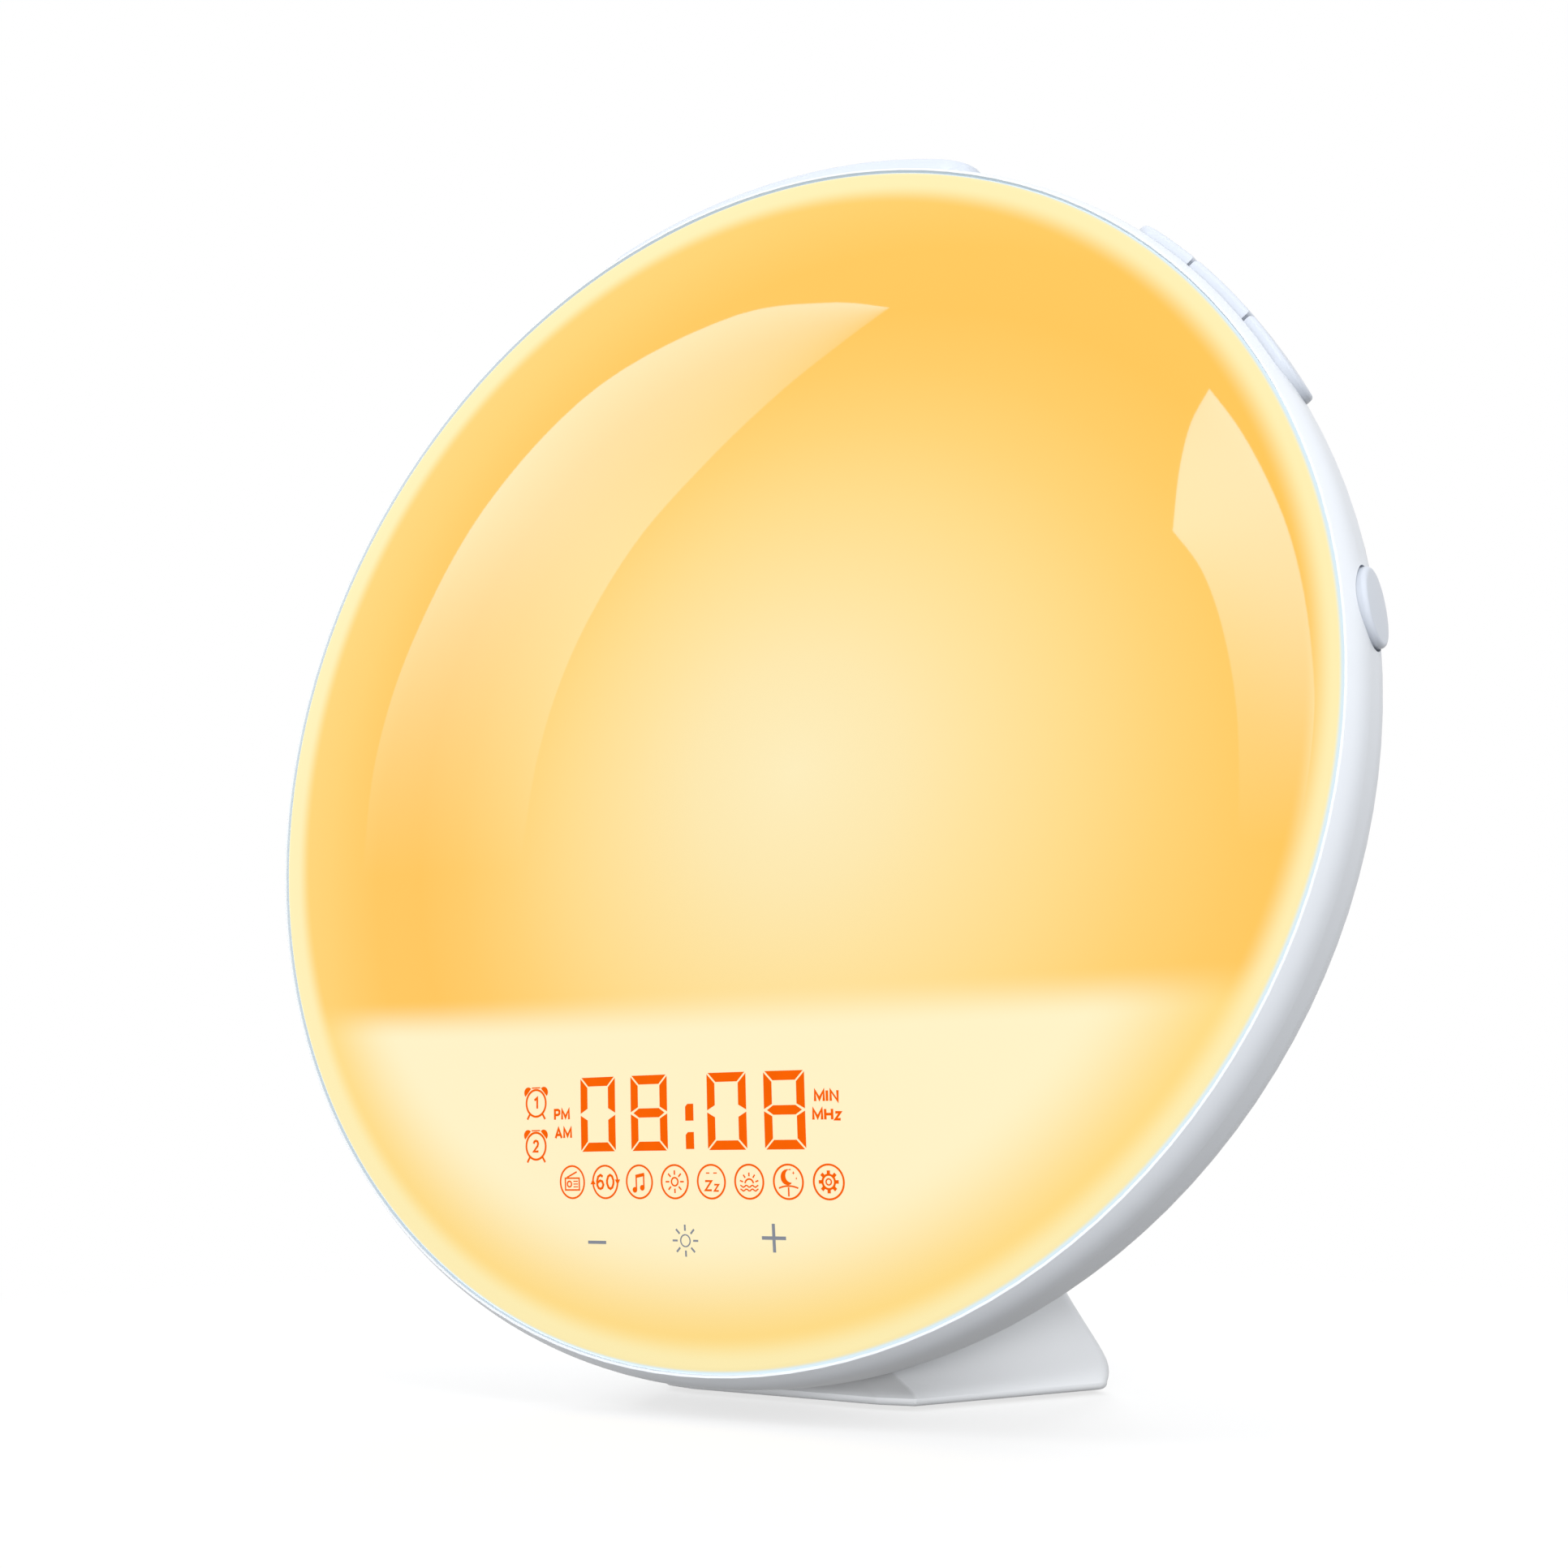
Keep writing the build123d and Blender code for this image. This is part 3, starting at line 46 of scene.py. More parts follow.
# ---- The leaning disc
# Dome, ring, back and tray are all turned about one axis, which leans back by six degrees.
# disc_place carries a point of the face (x right, y up the face, z out of it) into the clock.
lean = math.radians(6.0)
housing_radius = 0.0860
dome_radius = 0.0842
dome_rise = 0.0095
overall_depth = 0.0910
table_gap = 0.0032
ring_barrel = 0.0083
ball_radius = (dome_radius**2 + dome_rise**2) / (2 * dome_rise)
ball_middle = dome_rise - ball_radius
disc_y = ball_radius + ball_middle * math.cos(lean) - overall_depth / 2
disc_z = table_gap + housing_radius * math.cos(lean) + ring_barrel * math.sin(lean)
disc_origin = Vector((0, disc_y, disc_z))
disc_turn = math.radians(90) - lean
disc_place = Matrix.Translation(disc_origin) @ Matrix.Rotation(disc_turn, 4, "X")
ball_origin = disc_place @ Vector((0, 0, ball_middle))


# ---- Camera
# A long-lens view from the right of the face and a little below its middle. The distances are
# taken from the middle of the disc's rim.
camera_from_disc = Vector((0.142465, -0.212950, -0.054081))
camera_azimuth = math.radians(32.113)
camera_elevation = math.radians(-10.379)
camera_lens = 43.79
sensor_width = 36.0
camera_data = bpy.data.cameras.new("camera")
camera_data.sensor_fit = "HORIZONTAL"
camera_data.sensor_width = sensor_width
camera_data.lens = camera_lens
camera_data.clip_start = 0.01
camera = bpy.data.objects.new("camera", camera_data)
camera.location = disc_origin + camera_from_disc
camera.rotation_euler = (math.radians(90) - camera_elevation, 0, camera_azimuth)
scene.collection.objects.link(camera)
scene.camera = camera


# ---- Floor and surroundings
# A white sweep: near the clock it keeps a soft shadow, further out it is plain white like the
# world behind it. Scattered rays find it dark, so that little light comes up under the clock.
def colour(red, green, blue):
    """A screen colour, 0 to 255 a channel, as the linear values that a shader takes."""
    linear = []
    for part in (red, green, blue):
        level = part / 255
        linear.append(level / 12.92 if level <= 0.04045 else ((level + 0.055) / 1.055) ** 2.4)
    return (*linear, 1.0)


def preset(node, values):
    """Sets free sockets of a node, by name or number."""
    for socket, value in values.items():
        node.inputs[socket].default_value = value


def add_node(tree, kind, place, values=None, **settings):
    """Adds a node to a tree. Settings are its own properties, values those of free sockets."""
    node = tree.nodes.new(kind)
    node.location = place
    for name, value in settings.items():
        setattr(node, name, value)
    preset(node, values or {})
    return node


def feed(socket, target, into):
    """Links an output socket to an input of a node in the same tree."""
    target.id_data.links.new(socket, target.inputs[into])


def wire(source, out, target, into):
    """Links an output of one node to an input of another in the same tree."""
    feed(source.outputs[out], target, into)


def empty_material(name):
    """A material with no nodes but its output. Its glow, if any, is found by scattered rays."""
    material = bpy.data.materials.new(name)
    material.use_nodes = True
    material.cycles.emission_sampling = "NONE"
    tree = material.node_tree
    tree.nodes.clear()
    output = add_node(tree, "ShaderNodeOutputMaterial", (900, 0))
    return material, tree, output


def link_object(name, mesh):
    """Makes an object of a mesh and puts it in the scene."""
    thing = bpy.data.objects.new(name, mesh)
    scene.collection.objects.link(thing)
    return thing


def seen_rays(tree):
    """1 for rays that see the background itself: camera, mirror and glass rays."""
    ray = add_node(tree, "ShaderNodeLightPath", (-600, 300))
    first = add_node(tree, "ShaderNodeMath", (-400, 300), operation="MAXIMUM")
    second = add_node(tree, "ShaderNodeMath", (-200, 300), operation="MAXIMUM")
    wire(ray, "Is Camera Ray", first, 0)
    wire(ray, "Is Glossy Ray", first, 1)
    wire(first, 0, second, 0)
    wire(ray, "Is Transmission Ray", second, 1)
    return second.outputs[0]


floor_half = 3.0
floor_shadow_reach = 0.10
floor_clear_reach = 0.24
floor_plain_share = 0.72
floor_seen = (0.95, 0.95, 0.95, 1)
floor_scattered = (0.08, 0.08, 0.08, 1)
floor_mesh = bpy.data.meshes.new("floor")
floor_corners = [(-floor_half, -floor_half, 0), (floor_half, -floor_half, 0),
                 (floor_half, floor_half, 0), (-floor_half, floor_half, 0)]
floor_mesh.from_pydata(floor_corners, [], [(0, 1, 2, 3)])
floor = link_object("floor", floor_mesh)
floor_material, tree, output = empty_material("white_floor")
coords = add_node(tree, "ShaderNodeTexCoord", (-900, 0))
distance = add_node(tree, "ShaderNodeVectorMath", (-700, 0), operation="LENGTH")
fade = add_node(tree, "ShaderNodeMapRange", (-500, 0),
                {"From Min": floor_shadow_reach, "From Max": floor_clear_reach,
                 "To Min": floor_plain_share}, interpolation_type="SMOOTHSTEP")
share = add_node(tree, "ShaderNodeMath", (0, 150), operation="MULTIPLY")
paint = add_node(tree, "ShaderNodeMix", (0, 350), {6: floor_scattered, 7: floor_seen},
                 data_type="RGBA")
matt = add_node(tree, "ShaderNodeBsdfDiffuse", (200, 100))
plain = add_node(tree, "ShaderNodeEmission", (200, -100), {"Color": (1, 1, 1, 1)})
mixed = add_node(tree, "ShaderNodeMixShader", (500, 0))
wire(coords, "Object", distance, 0)
wire(distance, "Value", fade, "Value")
seen = seen_rays(tree)
feed(seen, share, 0)
feed(seen, paint, 0)
wire(paint, 2, matt, "Color")
wire(fade, "Result", share, 1)
wire(share, 0, mixed, "Fac")
wire(matt, 0, mixed, 1)
wire(plain, 0, mixed, 2)
wire(mixed, 0, output, "Surface")
floor_mesh.materials.append(floor_material)

world = bpy.data.worlds.new("studio")
scene.world = world
world.use_nodes = True
tree = world.node_tree
tree.nodes.clear()
output = add_node(tree, "ShaderNodeOutputWorld", (600, 0))
room = add_node(tree, "ShaderNodeBackground", (100, 0),
                {"Color": (0.94, 0.97, 1.0, 1), "Strength": 0.5})
plain = add_node(tree, "ShaderNodeBackground", (100, -200),
                 {"Color": (1, 1, 1, 1), "Strength": 1.0})
mixed = add_node(tree, "ShaderNodeMixShader", (350, 0))
feed(seen_rays(tree), mixed, "Fac")
wire(room, 0, mixed, 1)
wire(plain, 0, mixed, 2)
wire(mixed, 0, output, "Surface")


# ---- Lamps
# Broad lamps high on the left, on the right, above and behind, and a smaller one low in front
# that lights the foot. All are turned to the middle of the disc.
def area_lamp(name, place, size, power):
    """A square soft lamp that faces the middle of the disc."""
    data = bpy.data.lights.new(name, "AREA")
    data.size = size
    data.energy = power
    lamp = bpy.data.objects.new(name, data)
    lamp.location = place
    lamp.rotation_euler = (disc_origin - Vector(place)).to_track_quat("-Z", "Y").to_euler()
    lamp.visible_glossy = False
    scene.collection.objects.link(lamp)


area_lamp("left_lamp", (-0.95, -0.9, 0.8), 0.6, 9.0)
area_lamp("right_lamp", (1.25, -0.35, 0.75), 0.7, 10.0)
area_lamp("top_lamp", (0.1, 0.3, 1.4), 0.8, 1.5)
area_lamp("back_lamp", (-0.6, 1.2, 0.7), 0.7, 17.0)
area_lamp("low_lamp", (0.3, -1.0, 0.05), 0.3, 13.0)


# ---- Highlight panels
# Two curved light panels that only show as reflections in the polished dome. Each is a strip
# between two edges of its reflection, given in picture points of a frame 1932 wide. A point is
# followed from the camera to the dome and from there, mirrored, out to the panel.
frame_width = 1932
panel_distance = 1.0
panel_tint = (0.62, 0.68, 1.0)
panel_steps = 40


def panel_point(across, down):
    """Place of a panel point whose reflection shows at a picture point."""
    turn = camera.rotation_euler.to_matrix()
    side = (across - frame_width / 2) / frame_width * sensor_width
    rise = (frame_width / 2 - down) / frame_width * sensor_width
    sight = (turn @ Vector((side, rise, -camera_lens))).normalized()
    start = camera.location - ball_origin
    reach = -start.dot(sight) - math.sqrt(start.dot(sight) ** 2 - start.dot(start) + ball_radius**2)
    touch = camera.location + reach * sight
    normal = (touch - ball_origin).normalized()
    return touch + panel_distance * sight.reflect(normal)


def smooth_path(points, steps):
    """Evenly numbered points on a smooth curve through the given ones."""
    path = []
    last = len(points) - 1
    for step in range(steps + 1):
        place = step / steps * last
        index = min(int(place), last - 1)
        t = place - index
        p0, p1 = points[max(index - 1, 0)], points[index]
        p2, p3 = points[index + 1], points[min(index + 2, last)]
        path.append([0.5 * (2 * b + (c - a) * t + (2 * a - 5 * b + 4 * c - d) * t * t
                            + (3 * b - a - 3 * c + d) * t**3)
                     for a, b, c, d in zip(p0, p1, p2, p3)])
    return path


left_outer = ((1096, 379), (1020, 373), (900, 391), (735, 478), (600, 622), (510, 787),
              (463, 935), (447, 1080))
left_inner = ((1096, 379), (1040, 420), (960, 484), (870, 570), (780, 673), (707, 800),
              (663, 930), (641, 1070))
left_outer_level = (0.43, 0.40, 0.37, 0.33, 0.30, 0.17, 0.07, 0.0)
left_inner_level = (0.12, 0.11, 0.14, 0.17, 0.19, 0.14, 0.07, 0.0)
right_outer = ((1490, 479), (1527, 528), (1562, 592), (1590, 662), (1609, 745), (1619, 840),
               (1620, 935), (1614, 1040))
right_edge = ((1490, 479), (1467, 522), (1453, 580), (1445, 654))
right_inner = ((1445, 654), (1482, 705), (1509, 785), (1525, 890), (1527, 1040))
corner_step = 16
right_outer_level = (0.36, 0.36, 0.36, 0.32, 0.26, 0.17, 0.08, 0.0)
right_inner_level = (0.32, 0.32, 0.32, 0.29, 0.23, 0.15, 0.07, 0.0)
left_inner_path = smooth_path(left_inner, panel_steps)
right_inner_path = smooth_path(right_edge, corner_step)
right_inner_path += smooth_path(right_inner, panel_steps - corner_step)[1:]
for panel_name, outer, inner_path, outer_level, inner_level, mirror_share in (
        ("left_panel", left_outer, left_inner_path, left_outer_level, left_inner_level, 0.065),
        ("right_panel", right_outer, right_inner_path, right_outer_level, right_inner_level,
         0.042)):
    shape = bmesh.new()
    level = shape.verts.layers.float.new("level")
    rows = []
    for outside, inside, high, low in zip(smooth_path(outer, panel_steps), inner_path,
                                          smooth_path([(v,) for v in outer_level], panel_steps),
                                          smooth_path([(v,) for v in inner_level], panel_steps)):
        row = []
        for share_of_row in (0.0, 0.25, 0.5, 0.75, 1.0):
            spot = [a + (b - a) * share_of_row for a, b in zip(outside, inside)]
            value = high[0] + (low[0] - high[0]) * share_of_row
            vert = shape.verts.new(panel_point(*spot))
            vert[level] = max(value, 0) / mirror_share
            row.append(vert)
        rows.append(row)
    for row, after in zip(rows, rows[1:]):
        for index in range(4):
            shape.faces.new((row[index], row[index + 1], after[index + 1], after[index]))
    panel_mesh = bpy.data.meshes.new(panel_name)
    shape.to_mesh(panel_mesh)
    shape.free()
    panel_material, tree, output = empty_material(panel_name)
    reader = add_node(tree, "ShaderNodeAttribute", (0, 0), attribute_name="level")
    tint = add_node(tree, "ShaderNodeVectorMath", (200, 0),
                    {1: panel_tint, 2: (1, 1, 1)}, operation="MULTIPLY_ADD")
    shine = add_node(tree, "ShaderNodeEmission", (400, 0))
    wire(reader, "Fac", tint, 0)
    wire(tint, 0, shine, "Color")
    wire(shine, 0, output, "Surface")
    panel_mesh.materials.append(panel_material)
    panel = link_object(panel_name, panel_mesh)
    panel.visible_camera = False
    panel.visible_diffuse = False
    panel.visible_shadow = False
    panel.visible_transmission = False


# ---- Foot
# One hollow moulding in cool white ABS: a flared block with cut-off front corners. A dark plate
# closes it from below, held by four screws, and four soft pads keep it from sliding.
def open_sockets(tree, side, *sockets):
    """Opens sockets of a group: the name and kind of each, and its default where that counts."""
    for name, kind, *default in sockets:
        socket = tree.interface.new_socket(name, in_out=side, socket_type="NodeSocket" + kind)
        if default:
            socket.default_value = default[0]


grain = bpy.data.node_groups.new("moulded_grain", "ShaderNodeTree")
open_sockets(grain, "INPUT", ("Scale", "Float", 2600.0), ("Depth", "Float", 0.05),
             ("Patch Scale", "Float", 22.0))
open_sockets(grain, "OUTPUT", ("Normal", "Vector"), ("Patches", "Float"))
given = add_node(grain, "NodeGroupInput", (-700, 0))
result = add_node(grain, "NodeGroupOutput", (500, 0))
coords = add_node(grain, "ShaderNodeTexCoord", (-700, 300))
fine = add_node(grain, "ShaderNodeTexNoise", (-400, 200), {"Detail": 2.0})
slow = add_node(grain, "ShaderNodeTexNoise", (-400, -100), {"Detail": 2.0})
bump = add_node(grain, "ShaderNodeBump", (100, 200), {"Distance": 0.00002})
wire(coords, "Object", fine, "Vector")
wire(coords, "Object", slow, "Vector")
wire(given, "Scale", fine, "Scale")
wire(given, "Patch Scale", slow, "Scale")
wire(given, "Depth", bump, "Strength")
wire(fine, "Fac", bump, "Height")
wire(bump, "Normal", result, "Normal")
wire(slow, "Fac", result, "Patches")


def smooth_mask(tree, value, low, high, place):
    """A soft step from 0 at low to 1 at high."""
    step = add_node(tree, "ShaderNodeMapRange", place,
                    {"From Min": low, "From Max": high}, interpolation_type="SMOOTHSTEP")
    feed(value, step, "Value")
    return step.outputs["Result"]


def blend_colours(tree, mask, first, second, place):
    """Mixes two colours, or colour sockets, by a mask."""
    mix = add_node(tree, "ShaderNodeMix", place, data_type="RGBA")
    feed(mask, mix, 0)
    for slot, value in ((6, first), (7, second)):
        if isinstance(value, tuple):
            preset(mix, {slot: value})
        else:
            feed(value, mix, slot)
    return mix.outputs[2]


def plain_finish(name, values):
    """A material of one principled surface, with the given values in its free sockets."""
    material, tree, output = empty_material(name)
    surface = add_node(tree, "ShaderNodeBsdfPrincipled", (600, 0), values)
    wire(surface, 0, output, "Surface")
    return material, tree, surface


def uneven(tree, mask, base, loss, place):
    """A colour that loses a share of its light where the mask is low."""
    dim = tuple(part * (1 - loss) for part in base[:3]) + (1.0,)
    return blend_colours(tree, mask, dim, base, place)


gloss_drift = 0.05
shade_drift = 0.04


def moulded(name, base, roughness, depth=0.05, scale=2600.0, specular=0.5):
    """A moulded or coated finish: grain, and a slow drift of colour and gloss over the piece."""
    material, tree, surface = plain_finish(name, {"Specular IOR Level": specular})
    skin = add_node(tree, "ShaderNodeGroup", (-400, 0),
                    {"Scale": scale, "Depth": depth}, node_tree=grain)
    gloss = add_node(tree, "ShaderNodeMapRange", (0, -200),
                     {"To Min": roughness - gloss_drift, "To Max": roughness + gloss_drift})
    wire(skin, "Patches", gloss, "Value")
    tint = uneven(tree, skin.outputs["Patches"], base, shade_drift, (0, 200))
    feed(tint, surface, "Base Color")
    wire(gloss, "Result", surface, "Roughness")
    wire(skin, "Normal", surface, "Normal")
    return material


def dress(material, *names):
    """Gives solids of the frame a finish."""
    for name in names:
        mesh = nodes[name].data
        mesh.materials.clear()
        mesh.materials.append(material)


dress(moulded("foot_abs", colour(214, 216, 219), 0.36), "stand")
dress(moulded("dark_grey_abs", colour(92, 94, 98), 0.5, depth=0.2, scale=1500.0), "stand_base")
dress(moulded("soft_pad_rubber", colour(42, 42, 45), 0.75, depth=0.3, scale=1200.0, specular=0.3),
      "rubber_feet")


plated_drift = 0.1


def plated(name, base, roughness, brush=(900.0, 900.0, 60.0)):
    """Plated or bare metal: short brush marks in the object's own axes, and dull blotches."""
    material, tree, surface = plain_finish(name, {"Metallic": 1.0})
    coords = add_node(tree, "ShaderNodeTexCoord", (-900, 0))
    stretch = add_node(tree, "ShaderNodeMapping", (-700, 0), {"Scale": brush})
    marks = add_node(tree, "ShaderNodeTexNoise", (-450, 100), {"Scale": 1.0, "Detail": 4.0})
    blotch = add_node(tree, "ShaderNodeTexNoise", (-450, -200), {"Scale": 180.0})
    gloss = add_node(tree, "ShaderNodeMapRange", (0, -200),
                     {"To Min": roughness - plated_drift, "To Max": roughness + plated_drift})
    bump = add_node(tree, "ShaderNodeBump", (200, -400), {"Strength": 0.2, "Distance": 0.00003})
    wire(coords, "Object", stretch, "Vector")
    wire(stretch, 0, marks, "Vector")
    wire(coords, "Object", blotch, "Vector")
    wire(marks, "Fac", gloss, "Value")
    wire(marks, "Fac", bump, "Height")
    tint = uneven(tree, blotch.outputs["Fac"], base, 0.18, (0, 200))
    feed(tint, surface, "Base Color")
    wire(gloss, "Result", surface, "Roughness")
    wire(bump, "Normal", surface, "Normal")
    return material


dress(plated("zinc_screws", colour(176, 178, 182), 0.35),
      "base_screws", "stand_screws", "case_screws", "board_screws")


# ---- Back
# The bowl-shaped cover carries the loudspeaker behind a perforated disc and has a recess for the
# two sockets. It is the same white ABS as the ring, a little coarser where it isn't seen.
cool_white = colour(215, 219, 225)
back_finish = moulded("white_abs_back", cool_white, 0.42, depth=0.12, scale=1800.0)
dress(back_finish, "rear_cover")
dress(moulded("grille_abs", colour(190, 197, 207), 0.4, depth=0.1, scale=2000.0), "speaker_grille")


# ---- Sockets
# A small green board behind the recess holds a black power inlet and a plated USB shell.
dress(moulded("inlet_black", colour(30, 30, 33), 0.45, depth=0.15, specular=0.4), "dc_jack")
dress(plated("usb_shell", colour(190, 191, 196), 0.25, brush=(60.0, 900.0, 900.0)), "usb_socket")


# ---- Circuit boards
# Glass-cloth boards: solder mask with tracks and pads showing through as a slightly lighter net
# of straight lines, and a glossy skin. The lamp board is aluminium under white mask.
def board(name, mask, track, pitch=0.0026):
    """Solder mask over straight tracks on a square pitch."""
    material, tree, surface = plain_finish(
        name, {"Roughness": 0.3, "Coat Weight": 0.3, "Coat Roughness": 0.15})
    coords = add_node(tree, "ShaderNodeTexCoord", (-1100, 0))
    turned = add_node(tree, "ShaderNodeMapping", (-900, 0),
                      {"Location": disc_origin, "Rotation": (disc_turn, 0, 0)},
                      vector_type="TEXTURE")
    cells = add_node(tree, "ShaderNodeTexVoronoi", (-600, 100),
                     {"Scale": 1 / (2 * pitch), "Randomness": 0.55}, distance="MANHATTAN",
                     feature="DISTANCE_TO_EDGE")
    lines = smooth_mask(tree, cells.outputs["Distance"], 0.05, 0.09, (-350, 100))
    patches = add_node(tree, "ShaderNodeTexNoise", (-600, -200), {"Scale": 60.0})
    bump = add_node(tree, "ShaderNodeBump", (200, -300), {"Strength": 0.3, "Distance": 0.00004})
    wire(coords, "Object", turned, "Vector")
    wire(turned, 0, cells, "Vector")
    wire(coords, "Object", patches, "Vector")
    ground = uneven(tree, patches.outputs["Fac"], mask, 0.12, (-50, -50))
    feed(blend_colours(tree, lines, track, ground, (250, 150)),
         surface, "Base Color")
    feed(lines, bump, "Height")
    wire(bump, "Normal", surface, "Normal")
    return material


green_board = board("green_board", colour(22, 92, 52), colour(48, 132, 76))
dress(green_board, "socket_board", "main_board", "display_board", "key_boards")
dress(board("white_lamp_board", colour(240, 240, 236), colour(222, 224, 222), pitch=0.005),
      "led_board")
dress(moulded("chip_epoxy", colour(44, 44, 48), 0.55, depth=0.25, scale=1500.0), "main_chips")
dress(plated("capacitor_cans", colour(198, 200, 204), 0.3), "capacitors")
dress(moulded("cell_holder_nylon", colour(36, 36, 40), 0.5, depth=0.15), "cell_holder")
dress(plated("cell_steel", colour(208, 208, 210), 0.22), "backup_cell")


# ---- Loudspeaker
# A small full-range driver: black pressed basket, treated paper cone and cap, rubber surround,
# varnished cloth spider, copper coil, ferrite ring between zinc-plated iron.
def woven(name, base, thread):
    """Plain-weave cloth, or fibre mat, in the object's own axes."""
    material, tree, surface = plain_finish(name, {"Roughness": 0.8})
    coords = add_node(tree, "ShaderNodeTexCoord", (-900, 0))
    weave = add_node(tree, "ShaderNodeMath", (-300, 0), operation="MAXIMUM")
    for sheet, across in enumerate("XZ"):
        wave = add_node(tree, "ShaderNodeTexWave", (-600, 200 - 300 * sheet),
                        {"Scale": 1 / (thread * 20), "Distortion": 0.6}, bands_direction=across)
        wire(coords, "Object", wave, "Vector")
        wire(wave, "Fac", weave, sheet)
    bump = add_node(tree, "ShaderNodeBump", (200, -300), {"Strength": 0.5, "Distance": 0.00006})
    wire(weave, 0, bump, "Height")
    feed(uneven(tree, weave.outputs[0], base, 0.35, (0, 200)), surface, "Base Color")
    wire(bump, "Normal", surface, "Normal")
    return material


dress(moulded("black_basket_paint", colour(52, 52, 55), 0.4, depth=0.2, scale=900.0),
      "speaker_frame")
dress(woven("cone_paper", colour(58, 57, 60), 0.0003), "speaker_cone", "speaker_dust_cap")
dress(moulded("surround_rubber", colour(38, 38, 41), 0.5, depth=0.1, specular=0.4),
      "speaker_surround")
dress(woven("spider_cloth", colour(206, 168, 96), 0.0005), "speaker_spider")
dress(moulded("gasket_foam", colour(56, 56, 58), 0.9, depth=0.9, scale=900.0, specular=0.2),
      "speaker_gasket")
dress(moulded("ferrite_ring", colour(62, 62, 66), 0.6, depth=0.5, scale=1400.0), "speaker_magnet")
dress(plated("zinc_iron", colour(188, 188, 184), 0.35), "speaker_top_plate", "speaker_yoke")
dress(plated("copper_winding", colour(206, 124, 76), 0.3, brush=(60.0, 60.0, 3000.0)),
      "voice_coil")


# ---- Tray and lamps
# A matt white tray scatters the light of two rings of lamps. The warm ones have yellow phosphor
# under clear resin and the colour ones are clear, and all of them glow a little.
def lamp_resin(name, base, glow, strength):
    """Clear resin over a lit chip."""
    material, tree, surface = plain_finish(name, {"Roughness": 0.12,
                                                  "Emission Strength": strength})
    skin = add_node(tree, "ShaderNodeGroup", (-400, 0), {"Patch Scale": 260.0}, node_tree=grain)
    feed(uneven(tree, skin.outputs["Patches"], base, 0.1, (0, 200)), surface, "Base Color")
    feed(uneven(tree, skin.outputs["Patches"], glow, 0.3, (0, -100)), surface, "Emission Color")
    wire(skin, "Normal", surface, "Normal")
    return material


dress(moulded("tray_white", colour(238, 237, 230), 0.6, depth=0.15), "reflector_tray",
      "light_partition", "digit_reflector")
dress(lamp_resin("warm_lamps", colour(250, 214, 112), colour(255, 190, 90), 0.6), "warm_leds")
dress(lamp_resin("colour_lamps", colour(236, 236, 232), colour(255, 244, 214), 0.2),
      "colour_leds")
dress(lamp_resin("digit_lamps", colour(250, 128, 40), colour(255, 96, 10), 0.5), "digit_leds")
dress(moulded("diffusing_film", colour(248, 236, 208), 0.55, depth=0.1), "display_film")
dress(plated("touch_springs", colour(214, 208, 192), 0.2), "touch_springs")


# ---- Side wall and keys
# The ring is the white wall with a thin lip round the dome. A three-key strip and an oval key sit
# on each side and a long one on top. Each key presses the red plunger of a black switch.
dress(moulded("cool_white_abs", cool_white, 0.34), "front_ring")
key_names = [name for name in nodes if name.endswith("_key") or "_key_" in name]
dress(moulded("key_abs", colour(194, 200, 210), 0.32, depth=0.03), *key_names)
plunger_names = [name for name in nodes if "plunger" in name]
dress(moulded("red_plungers", colour(214, 70, 44), 0.4), *plunger_names)
dress(moulded("black_switches", colour(40, 40, 43), 0.45, depth=0.1), "key_switches")


# ---- Diffuser dome
# One opal moulding: a shallow polished cap with a rounded edge over a skirt that drops behind the
# ring's shelf. Lit from behind it glows amber round a lighter middle, with a cream display field
# at the bottom and a pale band along the rim. Down in the groove beside the lip a cool line is a
# painted highlight: the lit lip, painted into the glow over the shade of the gap.
dome_wall = 0.0020
dome_edge_round = 0.0012
dome_seat = 0.0009
skirt_depth = 0.0030
skirt_inset = 0.0032
cap_rings = 40
edge_rings = 8
round_segments = 288


def ball_height(radius, from_axis):
    """Height over the rim of a ball about the dome's centre, at a distance from the axis."""
    return math.sqrt(radius**2 - from_axis**2) + ball_middle


def end_tree(tree, given, last, across, up):
    """Ends a Geometry Nodes tree: the shape is made real, given its material and handed out."""
    open_sockets(tree, "OUTPUT", ("Geometry", "Geometry"))
    real = add_node(tree, "GeometryNodeRealizeInstances", (across, up))
    finish = add_node(tree, "GeometryNodeSetMaterial", (across + 200, up))
    output = add_node(tree, "NodeGroupOutput", (across + 400, up))
    wire(last, 0, real, "Geometry")
    wire(real, "Geometry", finish, "Geometry")
    wire(given, "Material", finish, "Material")
    wire(finish, "Geometry", output, "Geometry")
    return tree


